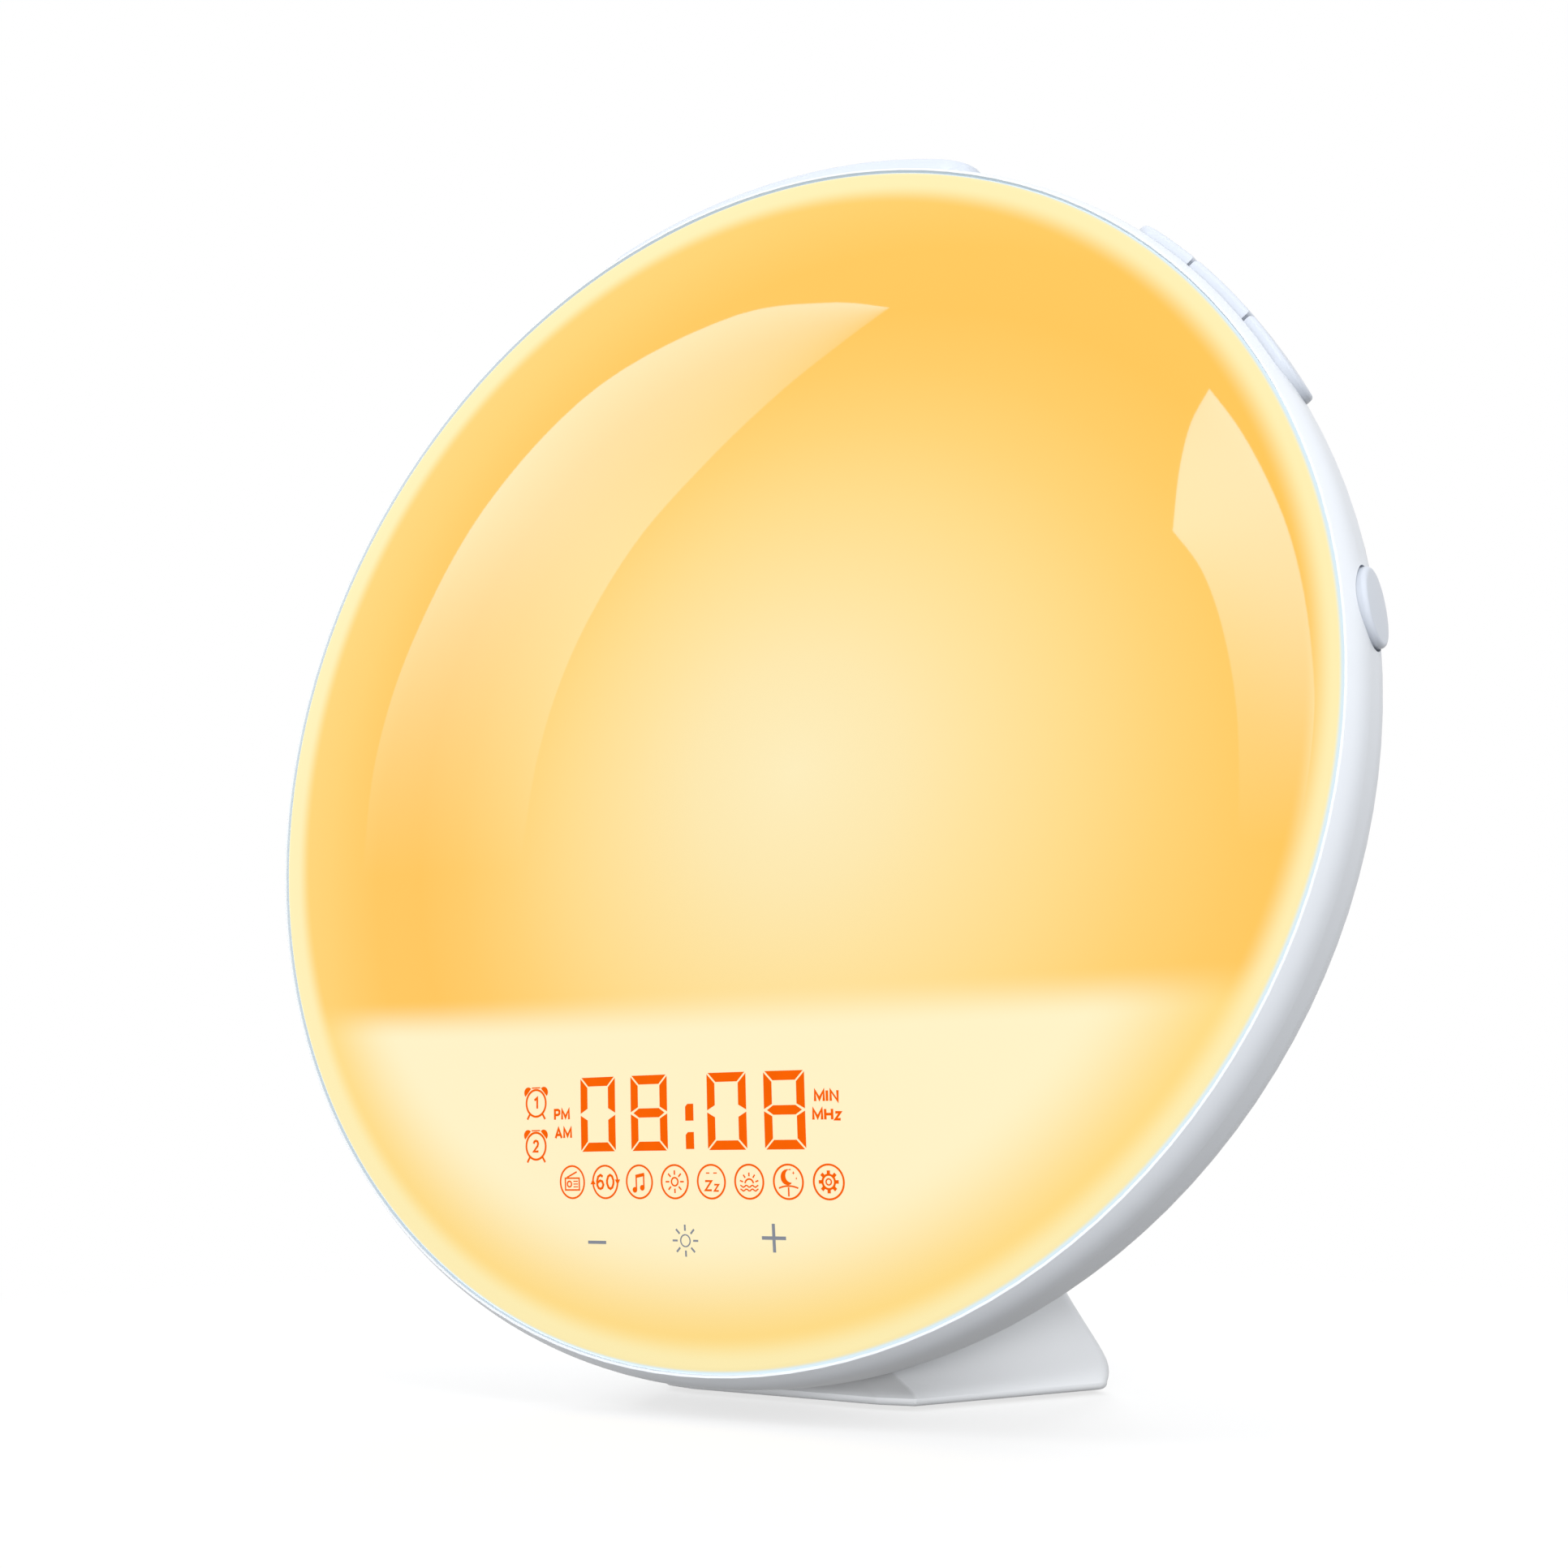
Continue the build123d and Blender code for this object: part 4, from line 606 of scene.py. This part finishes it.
def turned_tree():
    """Geometry Nodes: turns a profile, given as the points of a mesh, about Z."""
    tree = bpy.data.node_groups.new("turned_profile", "GeometryNodeTree")
    open_sockets(tree, "INPUT", ("Profile", "Geometry"), ("Segments", "Int"),
                 ("Material", "Material"))
    given = add_node(tree, "NodeGroupInput", (-1200, 0))
    count = add_node(tree, "GeometryNodeAttributeDomainSize", (-1000, 200), component="MESH")
    columns = add_node(tree, "ShaderNodeMath", (-1000, -100), {1: 1}, operation="ADD")
    sheet = add_node(tree, "GeometryNodeMeshGrid", (-800, 200))
    index = add_node(tree, "GeometryNodeInputIndex", (-1000, -300))
    share = add_node(tree, "ShaderNodeMath", (-800, -100), operation="DIVIDE")
    row = add_node(tree, "ShaderNodeMath", (-600, -100), operation="FLOOR")
    column = add_node(tree, "ShaderNodeMath", (-800, -300), operation="MODULO")
    turn = add_node(tree, "ShaderNodeMath", (-600, -300), {1: math.tau}, operation="MULTIPLY")
    angle = add_node(tree, "ShaderNodeMath", (-400, -300), operation="DIVIDE")
    place = add_node(tree, "GeometryNodeInputPosition", (-600, 0))
    sample = add_node(tree, "GeometryNodeSampleIndex", (-400, 0), data_type="FLOAT_VECTOR")
    rotate = add_node(tree, "ShaderNodeVectorRotate", (-200, 0), rotation_type="Z_AXIS")
    lay = add_node(tree, "GeometryNodeSetPosition", (0, 200))
    weld = add_node(tree, "GeometryNodeMergeByDistance", (200, 200), {"Distance": 0.0000005})
    smooth = add_node(tree, "GeometryNodeSetShadeSmooth", (400, 200))
    wire(given, "Profile", count, "Geometry")
    wire(given, "Segments", columns, 0)
    wire(count, "Point Count", sheet, "Vertices X")
    wire(columns, 0, sheet, "Vertices Y")
    wire(index, 0, share, 0)
    wire(columns, 0, share, 1)
    wire(share, 0, row, 0)
    wire(index, 0, column, 0)
    wire(columns, 0, column, 1)
    wire(column, 0, turn, 0)
    wire(turn, 0, angle, 0)
    wire(given, "Segments", angle, 1)
    wire(given, "Profile", sample, "Geometry")
    wire(place, 0, sample, "Value")
    wire(row, 0, sample, "Index")
    wire(sample, "Value", rotate, "Vector")
    wire(angle, 0, rotate, "Angle")
    wire(sheet, "Mesh", lay, "Geometry")
    wire(rotate, 0, lay, "Position")
    wire(lay, "Geometry", weld, "Geometry")
    wire(weld, "Geometry", smooth, "Geometry")
    return end_tree(tree, given, smooth, 600, 200)


def grown(name, tree, mesh=None, **inputs):
    """Runs a Geometry Nodes tree with named inputs and returns the result as a plain mesh."""
    seed = link_object(name, mesh or bpy.data.meshes.new(name))
    modifier = seed.modifiers.new("tree", "NODES")
    modifier.node_group = tree
    for item in tree.interface.items_tree:
        key = item.name.lower().replace(" ", "_")
        if item.item_type == "SOCKET" and item.in_out == "INPUT" and key in inputs:
            modifier[item.identifier] = inputs[key]
    seed.update_tag()
    sight = bpy.context.evaluated_depsgraph_get()
    made = bpy.data.meshes.new_from_object(seed.evaluated_get(sight), depsgraph=sight)
    made.name = name
    bpy.data.objects.remove(seed)
    return made


def outward(mesh):
    """Turns all faces of a closed mesh outwards."""
    shape = bmesh.new()
    shape.from_mesh(mesh)
    bmesh.ops.recalc_face_normals(shape, faces=shape.faces)
    shape.to_mesh(mesh)
    shape.free()


def outline_mesh(name, points):
    """The points of a turned profile, (distance from the axis, height), as a mesh."""
    mesh = bpy.data.meshes.new(name)
    edges = [(index, index + 1) for index in range(len(points) - 1)]
    mesh.from_pydata([(reach, 0, height) for reach, height in points], edges, [])
    return mesh


round_middle = dome_radius - dome_edge_round
round_height = ball_height(ball_radius - dome_edge_round, round_middle)
round_start = math.atan2(round_height - ball_middle, round_middle)
skirt_outer = dome_radius - skirt_inset
skirt_inner = skirt_outer - dome_wall
cap_edge = ball_radius * math.cos(round_start)
profile = []
for step in range(cap_rings):
    reach = cap_edge * step / cap_rings
    profile.append((reach, ball_height(ball_radius, reach)))
for step in range(edge_rings + 1):
    angle = round_start * (1 - step / edge_rings)
    height = round_height + dome_edge_round * math.sin(angle)
    profile.append((round_middle + dome_edge_round * math.cos(angle), max(height, -dome_seat)))
profile += [(skirt_outer, -dome_seat), (skirt_outer, -skirt_depth), (skirt_inner, -skirt_depth)]
for step in range(cap_rings + 1):
    reach = skirt_inner * (1 - step / cap_rings)
    profile.append((reach, ball_height(ball_radius - dome_wall, reach)))

glow_middle = Vector((0.0167, -0.0096, 0))
glow_reach = 0.100
glow_stops = ((0.0, (251, 235, 187)), (0.15, (251, 230, 174)), (0.25, (252, 225, 159)),
              (0.37, (253, 218, 140)), (0.48, (253, 209, 119)), (0.57, (254, 202, 104)),
              (0.66, (254, 197, 93)), (0.76, (254, 198, 93)), (0.88, (254, 206, 108)),
              (1.0, (254, 210, 116)))
field_height = -0.0397
field_bow = 0.35
field_blur = 0.0030
field_fade = (0.066, 0.0815)
rim_middle = Vector((0.0012, -0.0006, 0))
rim_band = 0.0038
rim_blur = 0.0017
# Painted highlight: where the dome drops into the groove beside the lip, its glow turns pale blue,
# painted in for the lit lip and over the gap's shade.
lip_highlight_fade = (0.0001, -0.0003)
mirror_loss = 0.055
opal_share = 0.15
glow_strength = 0.82
dome_material, tree, surface = plain_finish(
    "lit_opal", {"Roughness": 0.02, "Emission Strength": glow_strength})
coords = add_node(tree, "ShaderNodeTexCoord", (-1900, 0))
on_face = add_node(tree, "ShaderNodeMapping", (-1700, 0),
                   {"Location": disc_origin, "Rotation": (disc_turn, 0, 0)}, vector_type="TEXTURE")
flat = add_node(tree, "ShaderNodeVectorMath", (-1500, 200), {1: (1, 1, 0)}, operation="MULTIPLY")
from_rim = add_node(tree, "ShaderNodeVectorMath", (-1300, 300),
                    {1: rim_middle}, operation="DISTANCE")
from_glow = add_node(tree, "ShaderNodeVectorMath", (-1300, 100),
                     {1: glow_middle}, operation="DISTANCE")
parts = add_node(tree, "ShaderNodeSeparateXYZ", (-1500, -200))
across = add_node(tree, "ShaderNodeMath", (-1300, -100), operation="MULTIPLY")
bow = add_node(tree, "ShaderNodeMath", (-1100, -100), {1: -field_bow}, operation="MULTIPLY")
height = add_node(tree, "ShaderNodeMath", (-900, -200), operation="ADD")
wire(coords, "Object", on_face, "Vector")
wire(on_face, 0, flat, 0)
wire(flat, 0, from_rim, 0)
wire(flat, 0, from_glow, 0)
wire(on_face, 0, parts, 0)
wire(parts, "X", across, 0)
wire(parts, "X", across, 1)
wire(across, 0, bow, 0)
wire(parts, "Y", height, 0)
wire(bow, 0, height, 1)
glow_ramp = add_node(tree, "ShaderNodeValToRGB", (-700, 300))
glow_share = add_node(tree, "ShaderNodeMapRange", (-900, 300), {"From Max": glow_reach})
wire(from_glow, "Value", glow_share, "Value")
wire(glow_share, "Result", glow_ramp, "Fac")
while len(glow_ramp.color_ramp.elements) < len(glow_stops):
    glow_ramp.color_ramp.elements.new(0.5)
for stop, (place, shade) in zip(glow_ramp.color_ramp.elements, glow_stops):
    stop.position = place
    stop.color = colour(*shade)
edge_fade = smooth_mask(tree, from_rim.outputs["Value"], *field_fade, (-700, 0))
field_colour = blend_colours(tree, edge_fade, colour(254, 241, 198), colour(253, 217, 130),
                             (-450, 0))
in_field = smooth_mask(tree, height.outputs[0], field_height + field_blur,
                       field_height - field_blur, (-700, -300))
face_colour = blend_colours(tree, in_field, glow_ramp.outputs["Color"], field_colour, (-200, 100))
band_edge = dome_radius - rim_band
in_rim = smooth_mask(tree, from_rim.outputs["Value"], band_edge - rim_blur, band_edge + rim_blur,
                     (-450, -300))
rim_colour = blend_colours(tree, in_rim, face_colour, colour(252, 236, 178), (50, 0))
# Painted highlight: pale blue glow in the groove beside the lip, standing in for the lit lip.
painted_lip_highlight = smooth_mask(tree, parts.outputs["Z"], *lip_highlight_fade, (50, -300))
lit_colour = blend_colours(tree, painted_lip_highlight, rim_colour, colour(226, 243, 250), (270, 0))
less_mirror = add_node(tree, "ShaderNodeVectorMath", (430, -200),
                       {1: (mirror_loss, mirror_loss, mirror_loss)}, operation="SUBTRACT")
opal = add_node(tree, "ShaderNodeVectorMath", (430, 200), {"Scale": opal_share}, operation="SCALE")
feed(lit_colour, less_mirror, 0)
feed(lit_colour, opal, 0)
wire(opal, 0, surface, "Base Color")
wire(less_mirror, 0, surface, "Emission Color")
turned_profile = turned_tree()
dome_mesh = grown("opal_dome", turned_profile, outline_mesh("dome_profile", profile),
                  segments=round_segments, material=dome_material)
outward(dome_mesh)
dome_mesh.set_sharp_from_angle(angle=math.radians(35))
dome_mesh.transform(disc_place)
dome = link_object("opal_dome", dome_mesh)
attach(dome, "clock")
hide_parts("diffuser_dome")


# ---- Marks on the dome
# The display shines through the dome as clean orange figures, and three grey marks are printed
# over the touch fields. Each mark is a thin closed plate let into the skin, drawn flat in the
# plane of the face and then laid on the ball.
mark_top = 0.00004
mark_bottom = -0.00008
mark_turn = math.radians(0.8)
mark_middle = (0.0014, -0.0550)
millimetre = 0.001


def plate(shape, outline):
    """A closed plate with the given outline, in millimetres, from mark_bottom to mark_top."""
    tops = [shape.verts.new((x * millimetre, v * millimetre, mark_top)) for x, v in outline]
    lows = [shape.verts.new((x * millimetre, v * millimetre, mark_bottom)) for x, v in outline]
    shape.faces.new(tops)
    shape.faces.new(reversed(lows))
    for index in range(len(tops)):
        after = (index + 1) % len(tops)
        shape.faces.new((tops[index], lows[index], lows[after], tops[after]))


def stroke(shape, points, width, closed=False):
    """A closed strip of even width along points, in millimetres, with mitred corners."""
    count = len(points)
    left, right = [], []
    for index, point in enumerate(points):
        here = Vector(point)
        back = here - Vector(points[index - 1]) if index or closed else None
        ahead = Vector(points[(index + 1) % count]) - here if index < count - 1 or closed else None
        first = (back or ahead).normalized()
        second = (ahead or back).normalized()
        middle = (first + second).normalized()
        side = Vector((-middle.y, middle.x))
        reach = width / 2 / max(middle.dot(first), 0.5)
        left.append(here + side * reach)
        right.append(here - side * reach)
    rows = []
    for a, b in zip(left, right):
        rows.append([shape.verts.new((spot.x * millimetre, spot.y * millimetre, level))
                     for spot, level in ((a, mark_top), (b, mark_top), (b, mark_bottom),
                                         (a, mark_bottom))])
    pairs = list(zip(rows, rows[1:]))
    if closed:
        pairs.append((rows[-1], rows[0]))
    else:
        shape.faces.new(rows[0])
        shape.faces.new(reversed(rows[-1]))
    for one, two in pairs:
        for index in range(4):
            after = (index + 1) % 4
            shape.faces.new((one[index], one[after], two[after], two[index]))


def round_points(middle, radius, start=0.0, end=360.0, steps=32):
    """Points of an arc; angles in degrees."""
    full = abs(end - start) >= 360
    count = steps if full else steps + 1
    spots = []
    for step in range(count):
        angle = math.radians(start + (end - start) * step / steps)
        spots.append((middle[0] + radius * math.cos(angle), middle[1] + radius * math.sin(angle)))
    return spots


def lay_on_dome(name, shape, material, turn=0.0):
    """Turns a flat drawing a little about the display's middle and lays it on the dome."""
    bmesh.ops.recalc_face_normals(shape, faces=shape.faces)
    pivot = Vector((*mark_middle, 0))
    swing = Matrix.Translation(pivot) @ Matrix.Rotation(turn, 4, "Z") @ Matrix.Translation(-pivot)
    bmesh.ops.transform(shape, matrix=swing, verts=shape.verts)
    for vert in shape.verts:
        vert.co.z += ball_height(ball_radius, math.hypot(vert.co.x, vert.co.y))
    bmesh.ops.transform(shape, matrix=disc_place, verts=shape.verts)
    mesh = bpy.data.meshes.new(name)
    shape.to_mesh(mesh)
    shape.free()
    mesh.materials.clear()  # this also sends every face to the first slot
    mesh.materials.append(material)
    piece = link_object(name, mesh)
    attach(piece, "clock")


def add_mesh(shape, mesh, x, v):
    """Adds a flat mesh to a drawing at a place given in millimetres."""
    mesh.transform(Matrix.Translation((x * millimetre, v * millimetre, 0)))
    shape.from_mesh(mesh)


def ray_tree():
    """Geometry Nodes: a wheel or a fan of plain bars that point away from the middle."""
    tree = bpy.data.node_groups.new("ray_wheel", "GeometryNodeTree")
    open_sockets(tree, "INPUT", ("Count", "Int"), ("First Angle", "Float"), ("Step", "Float"),
                 ("Start", "Float"), ("Length", "Float"), ("Width", "Float"), ("Top", "Float"),
                 ("Bottom", "Float"), ("Material", "Material"))
    given = add_node(tree, "NodeGroupInput", (-1000, 0))
    points = add_node(tree, "GeometryNodePoints", (-600, 300))
    depth = add_node(tree, "ShaderNodeMath", (-800, -200), operation="SUBTRACT")
    size = add_node(tree, "ShaderNodeCombineXYZ", (-600, -100))
    half = add_node(tree, "ShaderNodeMath", (-800, -400), {1: 0.5}, operation="MULTIPLY_ADD")
    sum_height = add_node(tree, "ShaderNodeMath", (-800, -600), operation="ADD")
    half_height = add_node(tree, "ShaderNodeMath", (-600, -600), {1: 0.5}, operation="MULTIPLY")
    shift = add_node(tree, "ShaderNodeCombineXYZ", (-400, -400))
    bar = add_node(tree, "GeometryNodeMeshCube", (-400, -100))
    moved = add_node(tree, "GeometryNodeTransform", (-200, -100))
    index = add_node(tree, "GeometryNodeInputIndex", (-800, 200))
    angle = add_node(tree, "ShaderNodeMath", (-600, 100), operation="MULTIPLY_ADD")
    turn = add_node(tree, "ShaderNodeCombineXYZ", (-400, 100))
    repeat = add_node(tree, "GeometryNodeInstanceOnPoints", (0, 200))
    wire(given, "Count", points, "Count")
    wire(given, "Top", depth, 0)
    wire(given, "Bottom", depth, 1)
    wire(given, "Length", size, "X")
    wire(given, "Width", size, "Y")
    wire(depth, 0, size, "Z")
    wire(given, "Length", half, 0)
    wire(given, "Start", half, 2)
    wire(given, "Top", sum_height, 0)
    wire(given, "Bottom", sum_height, 1)
    wire(sum_height, 0, half_height, 0)
    wire(half, 0, shift, "X")
    wire(half_height, 0, shift, "Z")
    wire(size, 0, bar, "Size")
    wire(bar, "Mesh", moved, "Geometry")
    wire(shift, 0, moved, "Translation")
    wire(index, 0, angle, 0)
    wire(given, "Step", angle, 1)
    wire(given, "First Angle", angle, 2)
    wire(angle, 0, turn, "Z")
    wire(points, 0, repeat, "Points")
    wire(moved, "Geometry", repeat, "Instance")
    wire(turn, 0, repeat, "Rotation")
    return end_tree(tree, given, repeat, 200, 200)


def lit_figure(name, shade, strength):
    """Light that comes through the opal skin as a clean figure, a little uneven."""
    material, tree, surface = plain_finish(
        name, {"Roughness": 0.1, "Specular IOR Level": 0.0, "Emission Strength": strength})
    skin = add_node(tree, "ShaderNodeGroup", (-400, 0), {"Patch Scale": 400.0}, node_tree=grain)
    tint = uneven(tree, skin.outputs["Patches"], shade, 0.12, (0, 0))
    dull = add_node(tree, "ShaderNodeVectorMath", (250, 200),
                    {"Scale": 1 - strength}, operation="SCALE")
    feed(tint, dull, 0)
    wire(dull, 0, surface, "Base Color")
    feed(tint, surface, "Emission Color")
    return material


orange_light = lit_figure("orange_figures", colour(252, 100, 6), 0.9)
grey_print = moulded("grey_print", colour(112, 117, 127), 0.3, depth=0.02)
ray_wheel = ray_tree()


def rays(shape, x, v, start, length, width, count=8, first=0.0, step=None):
    """Adds a wheel of rays about a place, in millimetres; angles in degrees."""
    turn = 360 / count if step is None else step
    wheel = grown("rays", ray_wheel, count=count, first_angle=math.radians(first),
                  step=math.radians(turn), start=start * millimetre, length=length * millimetre,
                  width=width * millimetre, top=mark_top, bottom=mark_bottom,
                  material=orange_light)
    add_mesh(shape, wheel, x, v)


def ring(shape, x, v, radius, width, segments=48):
    """Adds a turned ring about a place, in millimetres; radius is its middle line's."""
    inner, outer = (radius - width / 2) * millimetre, (radius + width / 2) * millimetre
    section = [(inner, mark_top), (outer, mark_top), (outer, mark_bottom), (inner, mark_bottom),
               (inner, mark_top)]
    made = grown("ring", turned_profile, outline_mesh("ring_profile", section),
                 segments=segments, material=orange_light)
    add_mesh(shape, made, x, v)


# ---- Time figures
# Four seven-bar figures and two short bars between them. Bars have mitred ends with a fine gap.
digit_places = (-14.4, -6.0, 6.0, 14.4)
digit_shift = 1.4
digit_row = -52.3
digit_half_width = 2.9
digit_half_height = 4.75
bar_width = 1.15
bar_gap = 0.17
time_shown = "0808"


def seven_bar_figure(shape, x, v, middle_bar):
    """One figure with all its outer bars lit, and its middle bar if asked."""
    w, h, t, e = digit_half_width, digit_half_height, bar_width, bar_gap
    top = [(-w + e, h), (w - e, h), (w - t - e, h - t), (-w + t + e, h - t)]
    side = [(-w, h - e), (-w, 0.8 * e), (-w + t, t / 2 + e), (-w + t, h - t - e)]
    waist = [(-w + 2.5 * e, 0), (-w + t + e, -t / 2), (w - t - e, -t / 2), (w - 2.5 * e, 0),
             (w - t - e, t / 2), (-w + t + e, t / 2)]
    for flip in (1, -1):
        plate(shape, [(x + a, v + b * flip) for a, b in top])
        for mirror in (1, -1):
            plate(shape, [(x + a * mirror, v + b * flip) for a, b in side])
    if middle_bar:
        plate(shape, [(x + a, v + b) for a, b in waist])


shape = bmesh.new()
for place, figure in zip(digit_places, time_shown):
    seven_bar_figure(shape, digit_shift + place, digit_row, figure == "8")
colon_middle = digit_shift + 0.35
colon_half_width = 0.62
colon_cut = 0.35
for low, high in ((-53.4, -51.3), (-56.9, -54.8)):
    left, right = colon_middle - colon_half_width, colon_middle + colon_half_width
    plate(shape, [(left, low), (right, low), (right, high), (left + colon_cut, high),
                  (left, high - colon_cut)])
lay_on_dome("time_figures", shape, orange_light, mark_turn)


# ---- Function words
# Small plain capitals beside the time: morning and afternoon, minutes and radio frequency. Each
# letter is drawn in a box one unit high, as wide as its first number.
letters = {
    "A": (0.85, [[(0, 0), (0.42, 1), (0.85, 0)], [(0.15, 0.33), (0.7, 0.33)]]),
    "H": (0.75, [[(0, 0), (0, 1)], [(0.75, 0), (0.75, 1)], [(0, 0.5), (0.75, 0.5)]]),
    "I": (0.05, [[(0, 0), (0, 1)]]),
    "M": (0.95, [[(0, 0), (0, 1), (0.47, 0.2), (0.95, 1), (0.95, 0)]]),
    "N": (0.75, [[(0, 0), (0, 1), (0.75, 0), (0.75, 1)]]),
    "P": (0.65, [[(0, 0), (0, 1), (0.45, 1), (0.63, 0.88), (0.63, 0.62), (0.45, 0.48),
                  (0, 0.48)]]),
    "z": (0.55, [[(0, 0.66), (0.55, 0.66), (0, 0), (0.55, 0)]]),
    "1": (0.4, [[(0, 0.78), (0.35, 1), (0.35, 0)]]),
    "2": (0.6, [[(0, 0.74), (0.1, 0.93), (0.3, 1), (0.5, 0.93), (0.58, 0.74), (0.5, 0.5), (0, 0),
                 (0.6, 0)]]),
    "6": (0.6, [[(0.55, 0.88), (0.35, 1), (0.12, 0.88), (0, 0.55), (0.02, 0.25), (0.15, 0.05),
                 (0.32, 0), (0.5, 0.08), (0.6, 0.3), (0.5, 0.53), (0.3, 0.6), (0.05, 0.45)]]),
    "0": (0.6, [[(0.3, 0), (0.12, 0.1), (0, 0.38), (0, 0.62), (0.12, 0.9), (0.3, 1), (0.48, 0.9),
                 (0.6, 0.62), (0.6, 0.38), (0.48, 0.1)]]),
}
letter_gap = 0.36


def word(shape, text, x, v, tall, width):
    """Writes a word with its middle at a place, in millimetres."""
    long = sum(letters[mark][0] for mark in text) + letter_gap * (len(text) - 1)
    pen = x - long * tall / 2
    for mark in text:
        wide, lines = letters[mark]
        for line in lines:
            spots = [(pen + a * tall, v + (b - 0.5) * tall) for a, b in line]
            stroke(shape, spots, width, closed=mark == "0")
        pen += (wide + letter_gap) * tall


word_height = 1.25
word_stroke = 0.32
shape = bmesh.new()
for text, x, v in (("PM", -19.2, -52.2), ("AM", -19.0, -54.6), ("MIN", 21.7, -50.7),
                   ("MHz", 21.7, -52.9)):
    word(shape, text, x, v, word_height, word_stroke)
lay_on_dome("function_words", shape, orange_light, mark_turn)


# ---- Alarm signs
# Two small alarm clocks, one over the other: a round case, two bells with a thin handle between
# them, two feet and the alarm's number.
alarm_radius = 1.75
alarm_stroke = 0.28
shape = bmesh.new()
for number, x, v in (("1", -23.8, -50.6), ("2", -23.9, -56.2)):
    ring(shape, x, v, alarm_radius, alarm_stroke)
    word(shape, number, x, v, 1.4, 0.3)
    for side in (1, -1):
        middle = (x + side * 1.42, v + 1.42)
        plate(shape, round_points(middle, 0.72, -45 * side, 180 - 45 * side, 12))
        stroke(shape, [(x + side * 1.15, v - 1.45), (x + side * 1.6, v - 2.1)], alarm_stroke)
    stroke(shape, [(x - 0.75, v + 2.02), (x + 0.75, v + 2.02)], 0.16)
lay_on_dome("alarm_signs", shape, orange_light, mark_turn)


# ---- Function signs
# A row of eight ringed signs: radio, sixty minutes, sound, lamp, sleep, sunrise, sunset, settings.
sign_row = -60.9
sign_first = -17.6
sign_pitch = 5.6
sign_radius = 2.05
sign_stroke = 0.24
line = 0.2
shape = bmesh.new()
places = [sign_first + sign_pitch * index for index in range(8)]
for x in places:
    ring(shape, x, sign_row, sign_radius, sign_stroke)
radio, minutes, sound, lamp, sleep, sunrise, sunset, settings = places

stroke(shape, [(radio - 1.2, sign_row - 1.0), (radio + 1.2, sign_row - 1.0),
               (radio + 1.2, sign_row + 0.5), (radio - 1.2, sign_row + 0.5)], line, closed=True)
stroke(shape, [(radio - 0.9, sign_row + 0.6), (radio + 0.8, sign_row + 1.3)], line)
ring(shape, radio - 0.5, sign_row - 0.25, 0.36, line, 24)
for rise in (-0.6, -0.25, 0.1):
    stroke(shape, [(radio + 0.2, sign_row + rise), (radio + 0.95, sign_row + rise)], 0.14)

word(shape, "60", minutes, sign_row, 1.75, 0.3)
for side in (1, -1):
    tip = minutes + side * sign_radius
    plate(shape, [(tip - 0.42, sign_row + 0.3 * side), (tip + 0.42, sign_row + 0.3 * side),
                  (tip, sign_row - 0.4 * side)])

for side, drop in ((-0.55, 0.0), (0.65, 0.25)):
    head = (sound + side - 0.2, sign_row - 1.0 + drop)
    plate(shape, round_points(head, 0.36, steps=16))
    stroke(shape, [(sound + side + 0.06, head[1]), (sound + side + 0.06, sign_row + 0.75 + drop)],
           line)
stroke(shape, [(sound - 0.59, sign_row + 0.66), (sound + 0.81, sign_row + 0.92)], 0.42)

ring(shape, lamp, sign_row, 0.5, line, 24)
rays(shape, lamp, sign_row, 0.85, 0.55, line)

word(shape, "z", sleep - 0.45, sign_row - 0.2, 1.7, 0.26)
word(shape, "z", sleep + 0.75, sign_row - 0.55, 1.15, 0.22)
for side in (-0.75, 0.35):
    stroke(shape, [(sleep + side, sign_row + 1.05), (sleep + side + 0.5, sign_row + 1.05)], 0.15)

stroke(shape, round_points((sunrise, sign_row - 0.3), 0.62, 10, 170, 16), line)
rays(shape, sunrise, sign_row - 0.3, 0.95, 0.45, 0.18, count=5, first=18, step=36)
for drop in (0.55, 1.0):
    wave = [(sunrise - 1.3 + 0.2 * step, sign_row - drop + 0.13 * math.cos(step * 1.45))
            for step in range(14)]
    stroke(shape, wave, 0.16)

outer_arc = round_points((sunset - 0.1, sign_row + 0.55), 0.95, 60, 300, 20)
inner_arc = round_points((sunset + 0.42, sign_row + 0.72), 0.82, 272, 92, 16)
plate(shape, outer_arc + inner_arc)
for x, v, size in ((0.75, 1.05, 0.2), (1.15, 0.4, 0.15)):
    star = []
    for step in range(8):
        reach = size * (0.4 if step % 2 else 1)
        star.append((sunset + x + reach * math.sin(step * math.pi / 4),
                     sign_row + v + reach * math.cos(step * math.pi / 4)))
    plate(shape, star)
stroke(shape, round_points((sunset, sign_row - 4.1), 3.6, 68, 112, 12), line)
stroke(shape, [(sunset, sign_row - 0.65), (sunset, sign_row - 1.75)], line)

ring(shape, settings, sign_row, 0.85, 0.26, 32)
ring(shape, settings, sign_row, 0.36, 0.18, 24)
rays(shape, settings, sign_row, 0.85, 0.5, 0.42)
lay_on_dome("function_signs", shape, orange_light, mark_turn)


# ---- Touch marks
# Grey print over the three touch springs: less light, lamp and more light.
touch_row = -68.1
shape = bmesh.new()
stroke(shape, [(-15.2, touch_row - 0.4), (-12.2, touch_row - 0.4)], 0.4)
stroke(shape, [(11.9, touch_row + 0.5), (15.3, touch_row + 0.5)], 0.42)
for end in (1, -1):
    stroke(shape, [(13.6, touch_row + 0.5 + 0.21 * end), (13.6, touch_row + 0.5 + 1.7 * end)], 0.42)
ring(shape, 0.5, touch_row, 0.72, 0.16, 32)
rays(shape, 0.5, touch_row, 1.2, 0.75, 0.24)
lay_on_dome("touch_marks", shape, grey_print, mark_turn)
